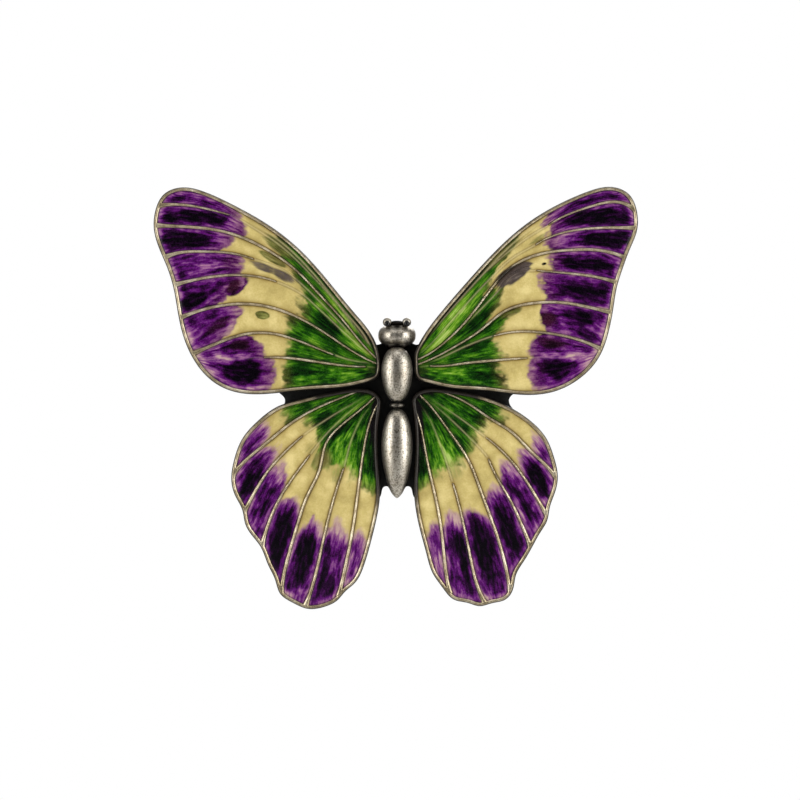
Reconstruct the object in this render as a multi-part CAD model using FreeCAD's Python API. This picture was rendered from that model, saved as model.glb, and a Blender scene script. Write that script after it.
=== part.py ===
"""Butterfly brooch: four cast wing frames filled with enamel, a cast body and a pin fastening on one backplate.

Millimetres, as worn: +Z up, the front faces -Y, +X to the viewer's right. The origin is on the axis of the
pin stem, halfway along its free length. Outlines are written in the drawing plane, whose X is the same and
whose heights are counted from the waist, between thorax and abdomen; PIN_HEIGHT carries them to the origin.
"""

import FreeCAD, Part
import math
import os

from FreeCAD import Vector

# ---- driving dimensions -------------------------------------------------------------------------------

PIN_HEIGHT = 5.0            # the pin's axis above the waist
DOME_RADIUS = 200.0         # the front is part of a ball, so the wing tips lie back
BACK_PLANE = -2.6           # y of the backplate's flat back; the pin's axis is y = 0
PLATE_THICK = 1.3           # backplate at its middle
SOLDER_GAP = 0.02           # between parts soldered on curved faces
HINDWING_THICK = 1.3
FOREWING_THICK = 1.8        # the forewings stand above the hindwings
RIM_WIDTH = 0.42
POCKET_DEPTH = 0.55
ENAMEL_RECESS = 0.12        # enamel surface below the metal
BACK_HOLLOW = 0.3           # depth of the cast hollow behind each wing
BACK_BORDER = 1.1           # and the full-thickness border round it
PLATE_MARGIN = 0.4          # full-thickness seat left round the backplate

VEIN_OUTER, VEIN_INNER = 0.36, 0.14     # widths at the margin and at the inner end
VEIN_FLARE, FLARE_REACH = 0.34, 0.7     # extra width where a vein runs into the rim

STEM_RADIUS = 0.4
STEM_HALF = 9.9             # half of the stem's full-diameter length
TANG_SIDE = 0.44            # its squared end, soldered into the knuckle's neck
HINGE_X, CATCH_X = -12.0, 12.0
TIP_X = 13.7
PAD_THICK, PAD_RECESS, PAD_CLEARANCE = 0.5, 0.2, 0.05
CORNER = 0.5                # radius of the pads' corners
EAR_THICK, KNUCKLE_LENGTH, KNUCKLE_RADIUS = 0.6, 1.4, 1.0
SIDE_PLAY = 0.05
RIVET_RADIUS, RIVET_CLEARANCE = 0.45, 0.03
CHEEK_RADIUS, CHEEK_THICK, CATCH_WIDTH = 1.6, 0.5, 1.9
ROTOR_RADIUS, ROTOR_BORE, ROTOR_PLAY = 1.06, 0.5, 0.04
MOUTH = 1.0                 # the slot that the stem drops through
LEVER_ANGLE, LEVER_REACH = 50.0, 3.0    # from the mouth towards the wearer's feet, when unlocked

# ---- outlines and veins, (x, height above the waist) ---------------------------------------------------
# A vein runs from the margin to the root. "divides" veins part one enamel cell from the next, and "fades"
# veins taper off inside a cell.

WINGS = {
    "left_forewing": {
        "thick": FOREWING_THICK,
        "outline": [
            (-2.1, 5.3), (-3.0, 7.45), (-5.0, 9.95), (-8.0, 13.6), (-11.5, 17.4), (-15.0, 20.1),
            (-18.5, 22.1), (-22.0, 23.75), (-25.0, 24.35), (-26.9, 23.6), (-27.95, 21.6), (-28.1, 19.6),
            (-27.4, 17.1), (-26.5, 15.0), (-25.7, 12.3), (-25.3, 10.0), (-24.6, 7.0), (-23.1, 3.9),
            (-20.8, 1.6), (-18.0, 0.55), (-14.5, 0.5), (-10.0, 0.95), (-6.0, 1.25), (-3.9, 1.68),
            (-2.8, 2.02), (-2.12, 2.45), (-1.93, 3.1), (-1.9, 4.2),
        ],
        "divides": [
            [(-28.0, 19.95), (-24.0, 19.75), (-20.0, 19.2), (-17.0, 18.15), (-14.0, 16.5), (-11.6, 14.7),
             (-9.0, 12.0), (-6.0, 8.7), (-3.8, 6.0), (-1.9, 4.2)],
            [(-25.1, 9.2), (-22.5, 10.15), (-19.0, 10.8), (-15.5, 10.65), (-12.0, 9.55), (-8.0, 7.3),
             (-5.0, 5.3), (-1.9, 3.8)],
        ],
        "fades": [
            [(-27.8, 22.2), (-24.6, 22.3), (-22.0, 21.85), (-19.2, 21.1)],
            [(-26.75, 16.25), (-25.0, 16.8), (-22.5, 16.9), (-19.5, 16.75), (-16.4, 15.95)],
            [(-25.7, 13.05), (-23.0, 13.7), (-19.5, 14.15), (-16.5, 14.05), (-13.8, 13.35)],
            [(-23.6, 5.1), (-20.5, 6.4), (-17.5, 7.35), (-14.5, 7.45), (-11.5, 6.65), (-7.2, 4.95)],
        ],
        "floats": [[(-15.3, 4.65), (-11.5, 4.5), (-7.5, 3.9), (-3.5, 3.6)]],
    },
    "right_forewing": {
        "thick": FOREWING_THICK,
        "outline": [
            (2.05, 5.3), (3.0, 7.1), (5.0, 9.8), (8.0, 13.3), (11.5, 17.1), (15.0, 20.15),
            (18.5, 22.3), (22.0, 23.85), (25.0, 24.4), (26.8, 23.6), (27.75, 21.5), (27.75, 19.4),
            (26.9, 17.2), (26.0, 14.8), (25.35, 12.7), (24.95, 10.3), (24.4, 7.6), (23.3, 4.7),
            (21.0, 2.2), (18.0, 0.7), (14.5, 0.35), (10.0, 0.85), (6.0, 1.15), (4.1, 1.58),
            (3.0, 1.86), (2.3, 2.2), (2.03, 2.8), (1.98, 4.1),
        ],
        "divides": [
            [(26.7, 16.0), (24.0, 16.95), (20.5, 17.1), (17.0, 16.7), (14.0, 15.6), (11.6, 13.5),
             (9.0, 10.1), (5.5, 6.4), (3.4, 4.9), (1.6, 4.2)],
            [(25.0, 9.8), (22.0, 10.5), (19.0, 11.0), (15.5, 10.9), (12.5, 10.05), (10.0, 8.1),
             (7.0, 6.1), (4.0, 4.5), (1.6, 3.6)],
        ],
        "fades": [
            [(27.6, 21.7), (25.5, 22.65), (22.0, 22.0), (19.0, 20.85), (17.4, 19.9)],
            [(27.75, 19.65), (24.0, 19.65), (20.5, 19.35), (18.0, 18.7), (15.9, 17.6)],
            [(25.6, 13.25), (23.0, 13.95), (19.5, 14.4), (16.0, 14.7)],
            [(23.8, 5.5), (21.0, 6.7), (17.5, 7.45), (14.0, 7.65), (11.0, 7.1)],
        ],
        "floats": [[(15.0, 4.6), (11.5, 4.35), (7.5, 3.95), (5.0, 3.65), (3.7, 3.7)]],
    },
    "left_hindwing": {
        "thick": HINDWING_THICK,
        "outline": [
            (-2.0, 0.1), (-2.9, 0.85), (-4.5, 1.1), (-7.0, 0.75), (-9.5, 0.25), (-11.5, -0.25),
            (-13.5, -0.85), (-16.0, -2.6), (-17.9, -4.8), (-18.8, -7.2), (-19.1, -9.6), (-18.6, -11.4),
            (-17.8, -13.0), (-17.55, -14.4), (-16.7, -15.9), (-15.7, -17.2), (-14.9, -19.2),
            (-14.05, -21.0), (-13.5, -22.6), (-12.1, -23.6), (-10.3, -24.35), (-8.2, -24.05),
            (-6.8, -23.3), (-6.0, -22.35), (-4.9, -21.4), (-3.9, -19.6), (-3.0, -16.6), (-2.3, -13.7),
            (-1.95, -11.2), (-2.1, -8.0), (-2.2, -5.0), (-2.05, -2.2), (-1.85, -0.7),
        ],
        "divides": [
            [(-19.0, -8.9), (-17.3, -7.05), (-15.0, -5.15), (-12.5, -3.1), (-9.5, -1.3), (-6.5, 0.0),
             (-3.5, 1.2)],
            [(-13.4, -22.6), (-12.7, -18.8), (-11.6, -15.0), (-10.3, -11.2), (-8.9, -8.2), (-8.2, -5.3),
             (-6.0, -2.8), (-1.8, 1.0)],
            [(-6.7, -22.9), (-5.8, -18.7), (-5.0, -14.5), (-4.4, -10.0), (-3.7, -5.2), (-2.8, -1.9),
             (-1.8, -0.1)],
        ],
        "fades": [
            [(-17.75, -13.4), (-16.6, -11.2), (-15.0, -8.6), (-13.0, -6.3), (-10.8, -4.3)],
            [(-15.6, -17.2), (-14.8, -14.4), (-13.2, -11.0), (-11.5, -8.5), (-10.0, -6.5)],
            [(-10.6, -24.1), (-9.4, -20.4), (-8.5, -16.4), (-7.4, -12.0), (-6.1, -8.0)],
        ],
        "floats": [],
    },
    "right_hindwing": {
        "thick": HINDWING_THICK,
        "outline": [
            (1.8, 0.1), (2.8, 0.9), (4.5, 1.1), (7.0, 0.8), (9.3, 0.35), (11.2, -0.25),
            (13.2, -1.15), (15.5, -2.7), (17.2, -4.6), (18.1, -6.8), (18.55, -9.3), (18.15, -11.1),
            (17.6, -12.7), (17.35, -14.1), (16.6, -15.4), (15.7, -17.0), (14.6, -18.9), (13.7, -20.5),
            (13.4, -22.1), (12.5, -23.3), (10.9, -23.7), (9.5, -24.05), (8.2, -23.65), (6.6, -23.3),
            (5.2, -21.8), (4.1, -20.2), (3.4, -18.0), (2.7, -15.4), (2.15, -12.8), (1.95, -10.6),
            (2.05, -7.5), (2.1, -4.8), (1.95, -2.2), (1.75, -0.7),
        ],
        "divides": [
            [(18.5, -9.4), (17.6, -8.2), (15.3, -6.0), (13.2, -3.9), (10.8, -2.4), (8.3, -0.7),
             (5.8, 0.5), (3.6, 1.2)],
            [(13.1, -22.9), (12.4, -18.8), (11.2, -14.8), (9.7, -10.8), (8.2, -7.1), (6.0, -3.8),
             (4.0, -1.1), (1.7, 1.1)],
            [(6.1, -22.6), (5.5, -18.8), (5.1, -15.0), (4.3, -10.8), (3.4, -6.8), (2.7, -3.2),
             (1.6, -0.3)],
        ],
        "fades": [
            [(17.5, -13.9), (16.0, -11.3), (14.1, -8.4), (12.3, -6.3), (10.2, -4.5)],
            [(15.5, -17.4), (14.4, -14.6), (12.8, -11.3), (11.5, -9.1), (10.5, -6.9)],
            [(10.3, -23.9), (9.4, -22.0), (8.4, -18.0), (7.6, -14.2), (6.4, -9.7)],
        ],
        "floats": [],
    },
}

# The backplate shows as a dark web in the notches beside the body and between the wings, and hides elsewhere.
PLATE_RIGHT = [
    (1.5, 7.9), (1.75, 6.35), (2.25, 6.15), (3.6, 7.3), (6.5, 9.3), (10.5, 9.7), (14.3, 8.4), (15.2, 5.0),
    (14.7, 2.0), (13.6, 0.6), (12.95, -0.1), (13.05, -0.8), (13.9, -1.9), (13.0, -3.6), (9.0, -4.8),
    (5.8, -7.0), (3.4, -10.3), (2.5, -11.9), (1.85, -11.2), (1.5, -10.25), (1.1, -10.2), (0.75, -10.7),
]


# ---- shared geometry ------------------------------------------------------------------------------------


def at(x, height, y=0.0):
    """A drawing-plane point in the part's frame."""
    return Vector(x, y, height - PIN_HEIGHT)


def spline(points, closed=False):
    curve = Part.BSplineCurve()
    curve.interpolate(Points=points, PeriodicFlag=closed)
    return curve


def closed_face(vectors):
    """A face inside a smooth closed curve through the points, its edge in four stretches."""
    whole = spline(vectors, True)
    first, last = whole.FirstParameter, whole.LastParameter
    edges = []
    for quarter in range(4):
        stretch = whole.copy()
        stretch.segment(first + (last - first) * quarter / 4, first + (last - first) * (quarter + 1) / 4)
        edges.append(stretch.toShape())
    return Part.Face(Part.Wire(edges))


def face_of(points):
    return closed_face([at(x, z) for x, z in points])


def inset_face(points, distance):
    """The face inside an outline moved in by a distance (or out, if negative), without corner loops."""
    outline = spline([at(x, z) for x, z in points], True)
    edge = outline.toShape()
    following = points[1:] + points[:1]
    turned = sum(x * z1 - x1 * z for (x, z), (x1, z1) in zip(points, following))
    inward = math.copysign(1.0, turned) * distance
    count = 4 * len(points)
    kept = []
    for i in range(count):
        u = outline.FirstParameter + (outline.LastParameter - outline.FirstParameter) * i / count
        tangent = outline.tangent(u)[0]
        spot = outline.value(u) + Vector(-tangent.z, 0, tangent.x).normalize() * inward
        if edge.distToShape(Part.Vertex(spot))[0] > 0.98 * abs(distance):
            kept.append(spot)
    return closed_face(kept)


def prism(face, depth=40.0):
    """The face drawn through the whole thickness of the brooch."""
    lifted = face.copy()
    lifted.translate(Vector(0, -depth / 2, 0))
    return lifted.extrude(Vector(0, depth, 0))


def ball(front):
    """The ball whose nearest point to the viewer is at y = front, level with the waist."""
    radius = DOME_RADIUS - front
    return Part.makeSphere(radius, at(0, 0, DOME_RADIUS))


def vein_prism(points, fades_out=False, floats=False):
    """A tapering ribbon along a vein, wider where it leaves the rim, drawn through the thickness."""
    line = spline([at(x, z) for x, z in points])
    length = line.length()
    count = 3 * len(points)
    sides = [], []
    for i in range(count + 1):
        share = i / count
        u = line.FirstParameter + share * (line.LastParameter - line.FirstParameter)
        flare = 0.0 if floats else VEIN_FLARE * math.exp(-share * length / FLARE_REACH)
        width = VEIN_OUTER + share * (VEIN_INNER - VEIN_OUTER) + flare
        if floats:
            width *= 0.35 + 0.65 * math.sin(math.pi * min(1.0, 2.0 * share) / 2.0)
        tangent = line.tangent(u)[0]
        across = Vector(-tangent.z, 0, tangent.x).normalize() * (width / 2)
        sides[0].append(line.value(u) + across)
        sides[1].append(line.value(u) - across)
    near, far = spline(sides[0]).toShape(), spline(sides[1]).toShape()
    start = Part.LineSegment(sides[1][0], sides[0][0]).toShape()
    end_direction = line.tangent(line.LastParameter)[0].normalize()
    nose = line.value(line.LastParameter) + end_direction * (VEIN_INNER / 2)
    if fades_out or floats:
        end = Part.Arc(sides[0][-1], nose, sides[1][-1]).toShape()
    else:
        end = Part.LineSegment(sides[0][-1], sides[1][-1]).toShape()
    wire = Part.Wire(Part.__sortEdges__([near, end, far, start]))
    return prism(Part.Face(wire))


# ---- wings ------------------------------------------------------------------------------------------------

PLATE_FRONT = BACK_PLANE - PLATE_THICK
WING_BACK = PLATE_FRONT - SOLDER_GAP


def plate_outline():
    """The backplate's closed outline, symmetric about the body's axis."""
    left = [(-x, z) for x, z in reversed(PLATE_RIGHT)]
    return [(0.0, 8.2)] + PLATE_RIGHT + [(0.0, -10.9)] + left


def wing_parts(name, wing):
    """The cast frame of one wing and the enamel fills in its cells, leading edge first."""
    outline = face_of(wing["outline"])
    front = WING_BACK - wing["thick"]
    veins = [vein_prism(v) for v in wing["divides"]]
    veins += [vein_prism(v, fades_out=True) for v in wing["fades"]]
    veins += [vein_prism(v, floats=True) for v in wing["floats"]]
    cells = prism(inset_face(wing["outline"], RIM_WIDTH)).cut(veins)
    floor = ball(front + POCKET_DEPTH)
    tray = prism(outline).common(ball(front)).cut(ball(WING_BACK))
    hollow = prism(inset_face(wing["outline"], BACK_BORDER)).cut(prism(inset_face(plate_outline(), -PLATE_MARGIN)))
    hollow = hollow.common(ball(WING_BACK - BACK_HOLLOW))
    frame = tray.cut(cells.cut(floor)).cut(hollow)

    surface = ball(front + ENAMEL_RECESS)
    root = at(wing["outline"][0][0], 2.0)
    fills = [solid.common(surface).cut(floor).Solids[0] for solid in cells.Solids if solid.Volume > 20.0]
    side = -1 if name.startswith("left") else 1
    fills.sort(key=lambda s: -math.atan2(s.CenterOfMass.z - root.z, side * (s.CenterOfMass.x - root.x)))
    parts = {f"{name}_frame": frame}
    for number, fill in enumerate(fills, 1):
        parts[f"{name}_enamel_{number}"] = fill
    return parts


def backplate():
    """Flat behind, where it lies on the cloth, domed in front to carry the wings, with two pad recesses."""
    plate = prism(face_of(plate_outline())).common(ball(PLATE_FRONT))
    plate = plate.common(Part.makeBox(60, 40, 60, Vector(-30, BACK_PLANE - 40, -30)))
    for x, size in PADS.values():
        plate = plate.cut(pad_block(x, size, PAD_RECESS, PAD_CLEARANCE))
    return plate


# ---- body -------------------------------------------------------------------------------------------------

BODY_Y = -5.2               # the thorax's own axis


def bead(profile, y, tilt=0.0):
    """A cast bead of the body: (radius, height) pairs turned about an upright axis, tilted about the waist."""
    points = [at(r, z, y) for r, z in profile]
    edge = spline(points).toShape()
    axis_line = Part.LineSegment(points[-1], points[0]).toShape()
    section = Part.Face(Part.Wire([edge, axis_line]))
    halves = []
    for turn in (180, -180):
        half = section.revolve(at(0, 0, y), Vector(0, 0, 1), turn)
        if half.Volume < 0:
            half.reverse()
        half.rotate(at(0, 0, y), Vector(1, 0, 0), tilt)
        halves.append(on_plate(half))
    return halves[0].fuse(halves[1])


def on_plate(solid):
    """Cuts the bead's back to the backplate's dome, as its solder face."""
    return solid.cut(ball(PLATE_FRONT - SOLDER_GAP))


def thorax():
    return bead([(0.0, 5.85), (0.95, 5.55), (1.6, 4.5), (1.82, 3.2), (1.66, 1.8), (1.2, 0.4), (0.62, -0.3),
                 (0.0, -0.48)], BODY_Y)


def abdomen():
    return bead([(0.0, -1.15), (0.75, -1.5), (1.45, -2.9), (1.78, -5.0), (1.62, -7.6), (1.1, -9.8),
                 (0.55, -11.1), (0.0, -11.62)], BODY_Y + 0.1, tilt=4.0)


def waist_collar():
    """The small ring between thorax and abdomen."""
    ring = Part.makeTorus(0.62, 0.24, at(0, -0.84, BODY_Y + 0.25), Vector(0, 0, 1))
    post = Part.makeCylinder(0.5, 0.48, at(0, -1.08, BODY_Y + 0.25), Vector(0, 0, 1))
    foot = Part.makeBox(0.9, 1.2, 0.36, at(-0.45, -1.02, BODY_Y + 0.3))
    return on_plate(ring.fuse([post, foot]).removeSplitter())


HEAD_Y = -5.3
LOBE_RADIUS, LOBE_X, HEAD_HEIGHT = 1.16, 1.0, 7.12
FACE_RADIUS = 1.06          # the face between the lobes
KNOB_RADIUS, KNOB_X, KNOB_HEIGHT = 0.52, 1.12, 8.72
EYE_RADIUS = 0.24


def small_ball(radius, centre):
    """A ball with its poles towards the front and the back."""
    whole = Part.makeSphere(radius)
    whole.rotate(Vector(), Vector(1, 0, 0), 90)
    whole.translate(centre)
    return whole


def head():
    """Two round lobes that run into one face, on a neck, with the brow between the antenna knobs."""
    lobes = [small_ball(LOBE_RADIUS, at(side * LOBE_X, HEAD_HEIGHT, HEAD_Y)) for side in (-1, 1)]
    face = Part.makeCylinder(FACE_RADIUS, 2 * LOBE_X, at(-LOBE_X, HEAD_HEIGHT - 0.05, HEAD_Y), Vector(1, 0, 0))
    neck = Part.makeCylinder(0.8, 1.25, at(0, 5.9, HEAD_Y + 0.3), Vector(0, 0, 1))
    brow = Part.makeBox(1.5, 1.4, 0.9, at(-0.75, 7.9, HEAD_Y - 0.1))
    foot = Part.makeBox(2.6, 2.0, 1.7, at(-1.3, 6.2, HEAD_Y))
    whole = lobes[0].fuse([lobes[1], face, neck, brow, foot])
    whole = whole.cut([knob_ball(side) for side in (-1, 1)])
    return on_plate(whole.removeSplitter())


def knob_ball(side):
    return small_ball(KNOB_RADIUS, at(side * KNOB_X, KNOB_HEIGHT, HEAD_Y + 0.1))


def eye_pit(side):
    """The pit in the front of an antenna knob, which holds a drop of black enamel."""
    return small_ball(EYE_RADIUS, at(side * KNOB_X, KNOB_HEIGHT - 0.16, HEAD_Y + 0.1 - KNOB_RADIUS * 0.9))


def antenna_knob(side):
    return knob_ball(side).cut(eye_pit(side))


# ---- pin fastening ------------------------------------------------------------------------------------------

PADS = {"hinge": (HINGE_X, (4.0, 3.4)), "catch": (CATCH_X, (2.8, 3.6))}


def rounded_box(x, size, y0, y1, grow=0.0):
    """A block on the back, centred at (x, 0), with rounded corners, from y0 to y1."""
    dx, dz = size[0] + 2 * grow, size[1] + 2 * grow
    block = Part.makeBox(dx, y1 - y0, dz, Vector(x - dx / 2, y0, -dz / 2))
    upright = [e for e in block.Edges if abs(e.tangentAt(e.FirstParameter).y) > 0.99]
    return block.makeFillet(CORNER + grow, upright)


def pad_block(x, size, depth, clearance):
    return rounded_box(x, size, BACK_PLANE - depth, BACK_PLANE + 5.0, clearance)


def pad(name):
    x, size = PADS[name]
    bottom = BACK_PLANE - PAD_RECESS
    return rounded_box(x, size, bottom, bottom + PAD_THICK)


def hinge_ear(z):
    """An ear with a round end about the rivet."""
    foot_y = BACK_PLANE - PAD_RECESS + PAD_THICK / 2
    round_end = Part.makeCylinder(1.15, EAR_THICK, Vector(HINGE_X, 0, z), Vector(0, 0, 1))
    web = Part.makeBox(2.3, -foot_y, EAR_THICK, Vector(HINGE_X - 1.15, foot_y, z))
    return round_end.fuse(web)


def hinge_bracket():
    inner = KNUCKLE_LENGTH / 2 + SIDE_PLAY
    whole = pad("hinge").fuse([hinge_ear(inner), hinge_ear(-inner - EAR_THICK)])
    bore = Part.makeCylinder(RIVET_RADIUS, 6, Vector(HINGE_X, 0, -3), Vector(0, 0, 1))
    return whole.cut(bore).removeSplitter()


def hinge_rivet():
    """A plain shank with a domed head at each end."""
    outside = KNUCKLE_LENGTH / 2 + SIDE_PLAY + EAR_THICK
    shank = Part.makeCylinder(RIVET_RADIUS, 2 * outside, Vector(HINGE_X, 0, -outside), Vector(0, 0, 1))
    head_radius, head_ball = 0.72, 0.9
    sink = math.sqrt(head_ball**2 - head_radius**2)
    caps = []
    for side in (-1, 1):
        dome = Part.makeSphere(head_ball, Vector(HINGE_X, 0, side * (outside - sink)))
        z0 = outside if side > 0 else -outside - 2
        caps.append(dome.common(Part.makeBox(4, 4, 2, Vector(HINGE_X - 2, -2, z0))))
    return shank.fuse(caps).removeSplitter()


def pin_knuckle():
    """The turned barrel of the pin joint, with a neck that grips the stem."""
    barrel = Part.makeCylinder(KNUCKLE_RADIUS, KNUCKLE_LENGTH, Vector(HINGE_X, 0, -KNUCKLE_LENGTH / 2))
    neck = Part.makeCone(0.66, 0.54, -STEM_HALF - HINGE_X, Vector(HINGE_X, 0, 0), Vector(1, 0, 0))
    bore = Part.makeCylinder(RIVET_RADIUS + RIVET_CLEARANCE, 4, Vector(HINGE_X, 0, -2), Vector(0, 0, 1))
    return barrel.fuse(neck).cut([bore, tang_block(3.0)]).removeSplitter()


def tang_block(length):
    return Part.makeBox(length, TANG_SIDE, TANG_SIDE, Vector(HINGE_X + 0.9, -TANG_SIDE / 2, -TANG_SIDE / 2))


def pin_stem():
    """Spring wire with a long ground point."""
    tang = tang_block(-STEM_HALF - HINGE_X - 0.9)
    wire = Part.makeCylinder(STEM_RADIUS, 2 * STEM_HALF, Vector(-STEM_HALF, 0, 0), Vector(1, 0, 0))
    point_end = 0.05
    taper = Part.makeCone(STEM_RADIUS, point_end, TIP_X - STEM_HALF, Vector(STEM_HALF, 0, 0), Vector(1, 0, 0))
    tip = Part.makeSphere(point_end, Vector(TIP_X, 0, 0))
    return wire.fuse([tang, taper, tip]).removeSplitter()


def catch_bracket():
    """Two cheeks on a pad, each with a round seat for the rotor and a mouth for the stem."""
    cheeks = []
    foot_y = BACK_PLANE - PAD_RECESS + PAD_THICK / 2
    for x in (CATCH_X - CATCH_WIDTH / 2, CATCH_X + CATCH_WIDTH / 2 - CHEEK_THICK):
        disc = Part.makeCylinder(CHEEK_RADIUS, CHEEK_THICK, Vector(x, 0, 0), Vector(1, 0, 0))
        web = Part.makeBox(CHEEK_THICK, -foot_y, 2.6, Vector(x, foot_y, -1.3))
        cheeks.append(disc.fuse(web))
    whole = pad("catch").fuse(cheeks)
    seat = Part.makeCylinder(ROTOR_RADIUS + ROTOR_PLAY, 4, Vector(CATCH_X - 2, 0, 0), Vector(1, 0, 0))
    mouth = Part.makeBox(4, 3, MOUTH + 0.1, Vector(CATCH_X - 2, 0, -MOUTH / 2 - 0.05))
    return whole.cut([seat, mouth]).removeSplitter()


def catch_rotor():
    """A slotted barrel whose thumb lever runs between the cheeks and so keeps it in them."""
    width = CATCH_WIDTH + 0.36
    barrel = Part.makeCylinder(ROTOR_RADIUS, width, Vector(CATCH_X - width / 2, 0, 0), Vector(1, 0, 0))
    lever_width = CATCH_WIDTH - 2 * CHEEK_THICK - 2 * SIDE_PLAY
    lever_thick = 0.56
    lever = Part.makeBox(lever_width, LEVER_REACH, lever_thick,
                         Vector(CATCH_X - lever_width / 2, 0, -lever_thick / 2))
    ends = [e for e in lever.Edges
            if e.BoundBox.YMin > LEVER_REACH - 0.01 and e.BoundBox.XLength > 0.1]
    lever = lever.makeFillet(0.2, ends)
    lever.rotate(Vector(CATCH_X, 0, 0), Vector(1, 0, 0), -LEVER_ANGLE)
    bore = Part.makeCylinder(ROTOR_BORE, 4, Vector(CATCH_X - 2, 0, 0), Vector(1, 0, 0))
    slot = Part.makeBox(4, 3, MOUTH, Vector(CATCH_X - 2, 0, -MOUTH / 2))
    return barrel.fuse(lever).cut([bore, slot]).removeSplitter()


# ---- the assembly -------------------------------------------------------------------------------------------


def all_parts():
    parts = {"backplate": backplate()}
    for name, wing in WINGS.items():
        parts.update(wing_parts(name, wing))
    parts["head"] = head()
    for word, side in (("left", -1), ("right", 1)):
        parts[f"{word}_antenna_knob"] = antenna_knob(side)
        parts[f"{word}_eye"] = eye_pit(side)
    for make in (thorax, waist_collar, abdomen, hinge_bracket, hinge_rivet, pin_knuckle, pin_stem,
                 catch_bracket, catch_rotor):
        parts[make.__name__] = make()
    return parts


def main():
    os.makedirs("parts", exist_ok=True)
    for name, shape in all_parts().items():
        solids = shape.Solids
        print(f"{name:28s} solids {len(solids)}  volume {shape.Volume:9.3f}  valid {shape.isValid()}")
        whole = solids[0] if len(solids) == 1 else Part.makeCompound(solids)
        whole.exportStep(f"parts/{name}.step")


main()
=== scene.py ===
import math
from contextlib import contextmanager

import bmesh
import bpy
import numpy as np
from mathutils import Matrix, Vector, noise
from mathutils.geometry import delaunay_2d_cdt
from mathutils.kdtree import KDTree


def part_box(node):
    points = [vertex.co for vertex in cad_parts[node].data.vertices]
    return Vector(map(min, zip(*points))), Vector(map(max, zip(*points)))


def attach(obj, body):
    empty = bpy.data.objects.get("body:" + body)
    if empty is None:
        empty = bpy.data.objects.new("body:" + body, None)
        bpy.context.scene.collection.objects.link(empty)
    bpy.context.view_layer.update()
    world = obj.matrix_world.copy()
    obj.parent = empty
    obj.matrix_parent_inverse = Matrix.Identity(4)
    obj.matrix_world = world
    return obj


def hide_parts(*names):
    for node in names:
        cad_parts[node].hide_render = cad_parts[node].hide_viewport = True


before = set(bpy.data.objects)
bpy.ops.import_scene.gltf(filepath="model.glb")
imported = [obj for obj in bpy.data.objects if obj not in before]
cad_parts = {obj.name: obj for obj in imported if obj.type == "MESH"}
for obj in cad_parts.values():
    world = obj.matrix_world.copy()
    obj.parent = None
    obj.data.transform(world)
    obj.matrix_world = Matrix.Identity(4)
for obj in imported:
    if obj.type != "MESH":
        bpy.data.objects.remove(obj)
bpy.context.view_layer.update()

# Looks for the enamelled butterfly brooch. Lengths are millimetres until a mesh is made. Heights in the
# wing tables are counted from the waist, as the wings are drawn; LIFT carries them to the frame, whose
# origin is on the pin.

MM = 0.001
LIFT = -5.0                 # frame height of the waist
DOME_RADIUS = 200.0         # the wings lie on balls about one centre behind them
GRAIN = 0.11                # spacing of the enamel's mesh
METAL_GRAIN = 0.07          # and of the rims and veins
EDGE_SPACING = 0.1          # between the points along an outline
BACK_SPACING = 0.25         # and along the edge of the hollow behind
HOLLOW_DEPTH = 0.3          # of that hollow
CROWN_REACH = 0.2           # how far in from its edge a rim or vein is rounded
VEIN_ROUND = 0.14           # how far a vein's edge falls below its crest
RIM_ROUND = 0.3             # and the rim's outer edge
RIPPLE = 0.012              # how far hand-finished metal and fired enamel wander
HEAD_SQUARENESS = 2.6       # 2 is round, more is squarer

# ---- how the enamel is laid -------------------------------------------------------------------------------
# The lines part a wing into strips, from the root outwards: the wing's own edge, its veins with the
# stretches where they fade, and its other edge. Each strip has how far the green reaches and where the
# purple starts, at its first line and at its second. A forewing counts these along x, a hindwing from its
# root. Finger is how far the purple reaches inwards along the middle of a strip, soft how softly it ends,
# and halo how much paler it is there. Crest is how bright the rim's top stays at the root, lining how dark
# the metal is beside the enamel, and a double edge is a second line inside the leading one. A dab is an
# oval of a kind of colour: x, height, half length, half width, angle and strength.

FOREWING = {"finger": 0.5, "soft": 0.75, "halo": 0.1, "crest": 0.55, "lining": 0.5, "double_edge": True}
HINDWING = {"finger": 1.5, "soft": 1.4, "halo": 0.42, "crest": 0.1, "lining": 0.3, "double_edge": False}

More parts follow.
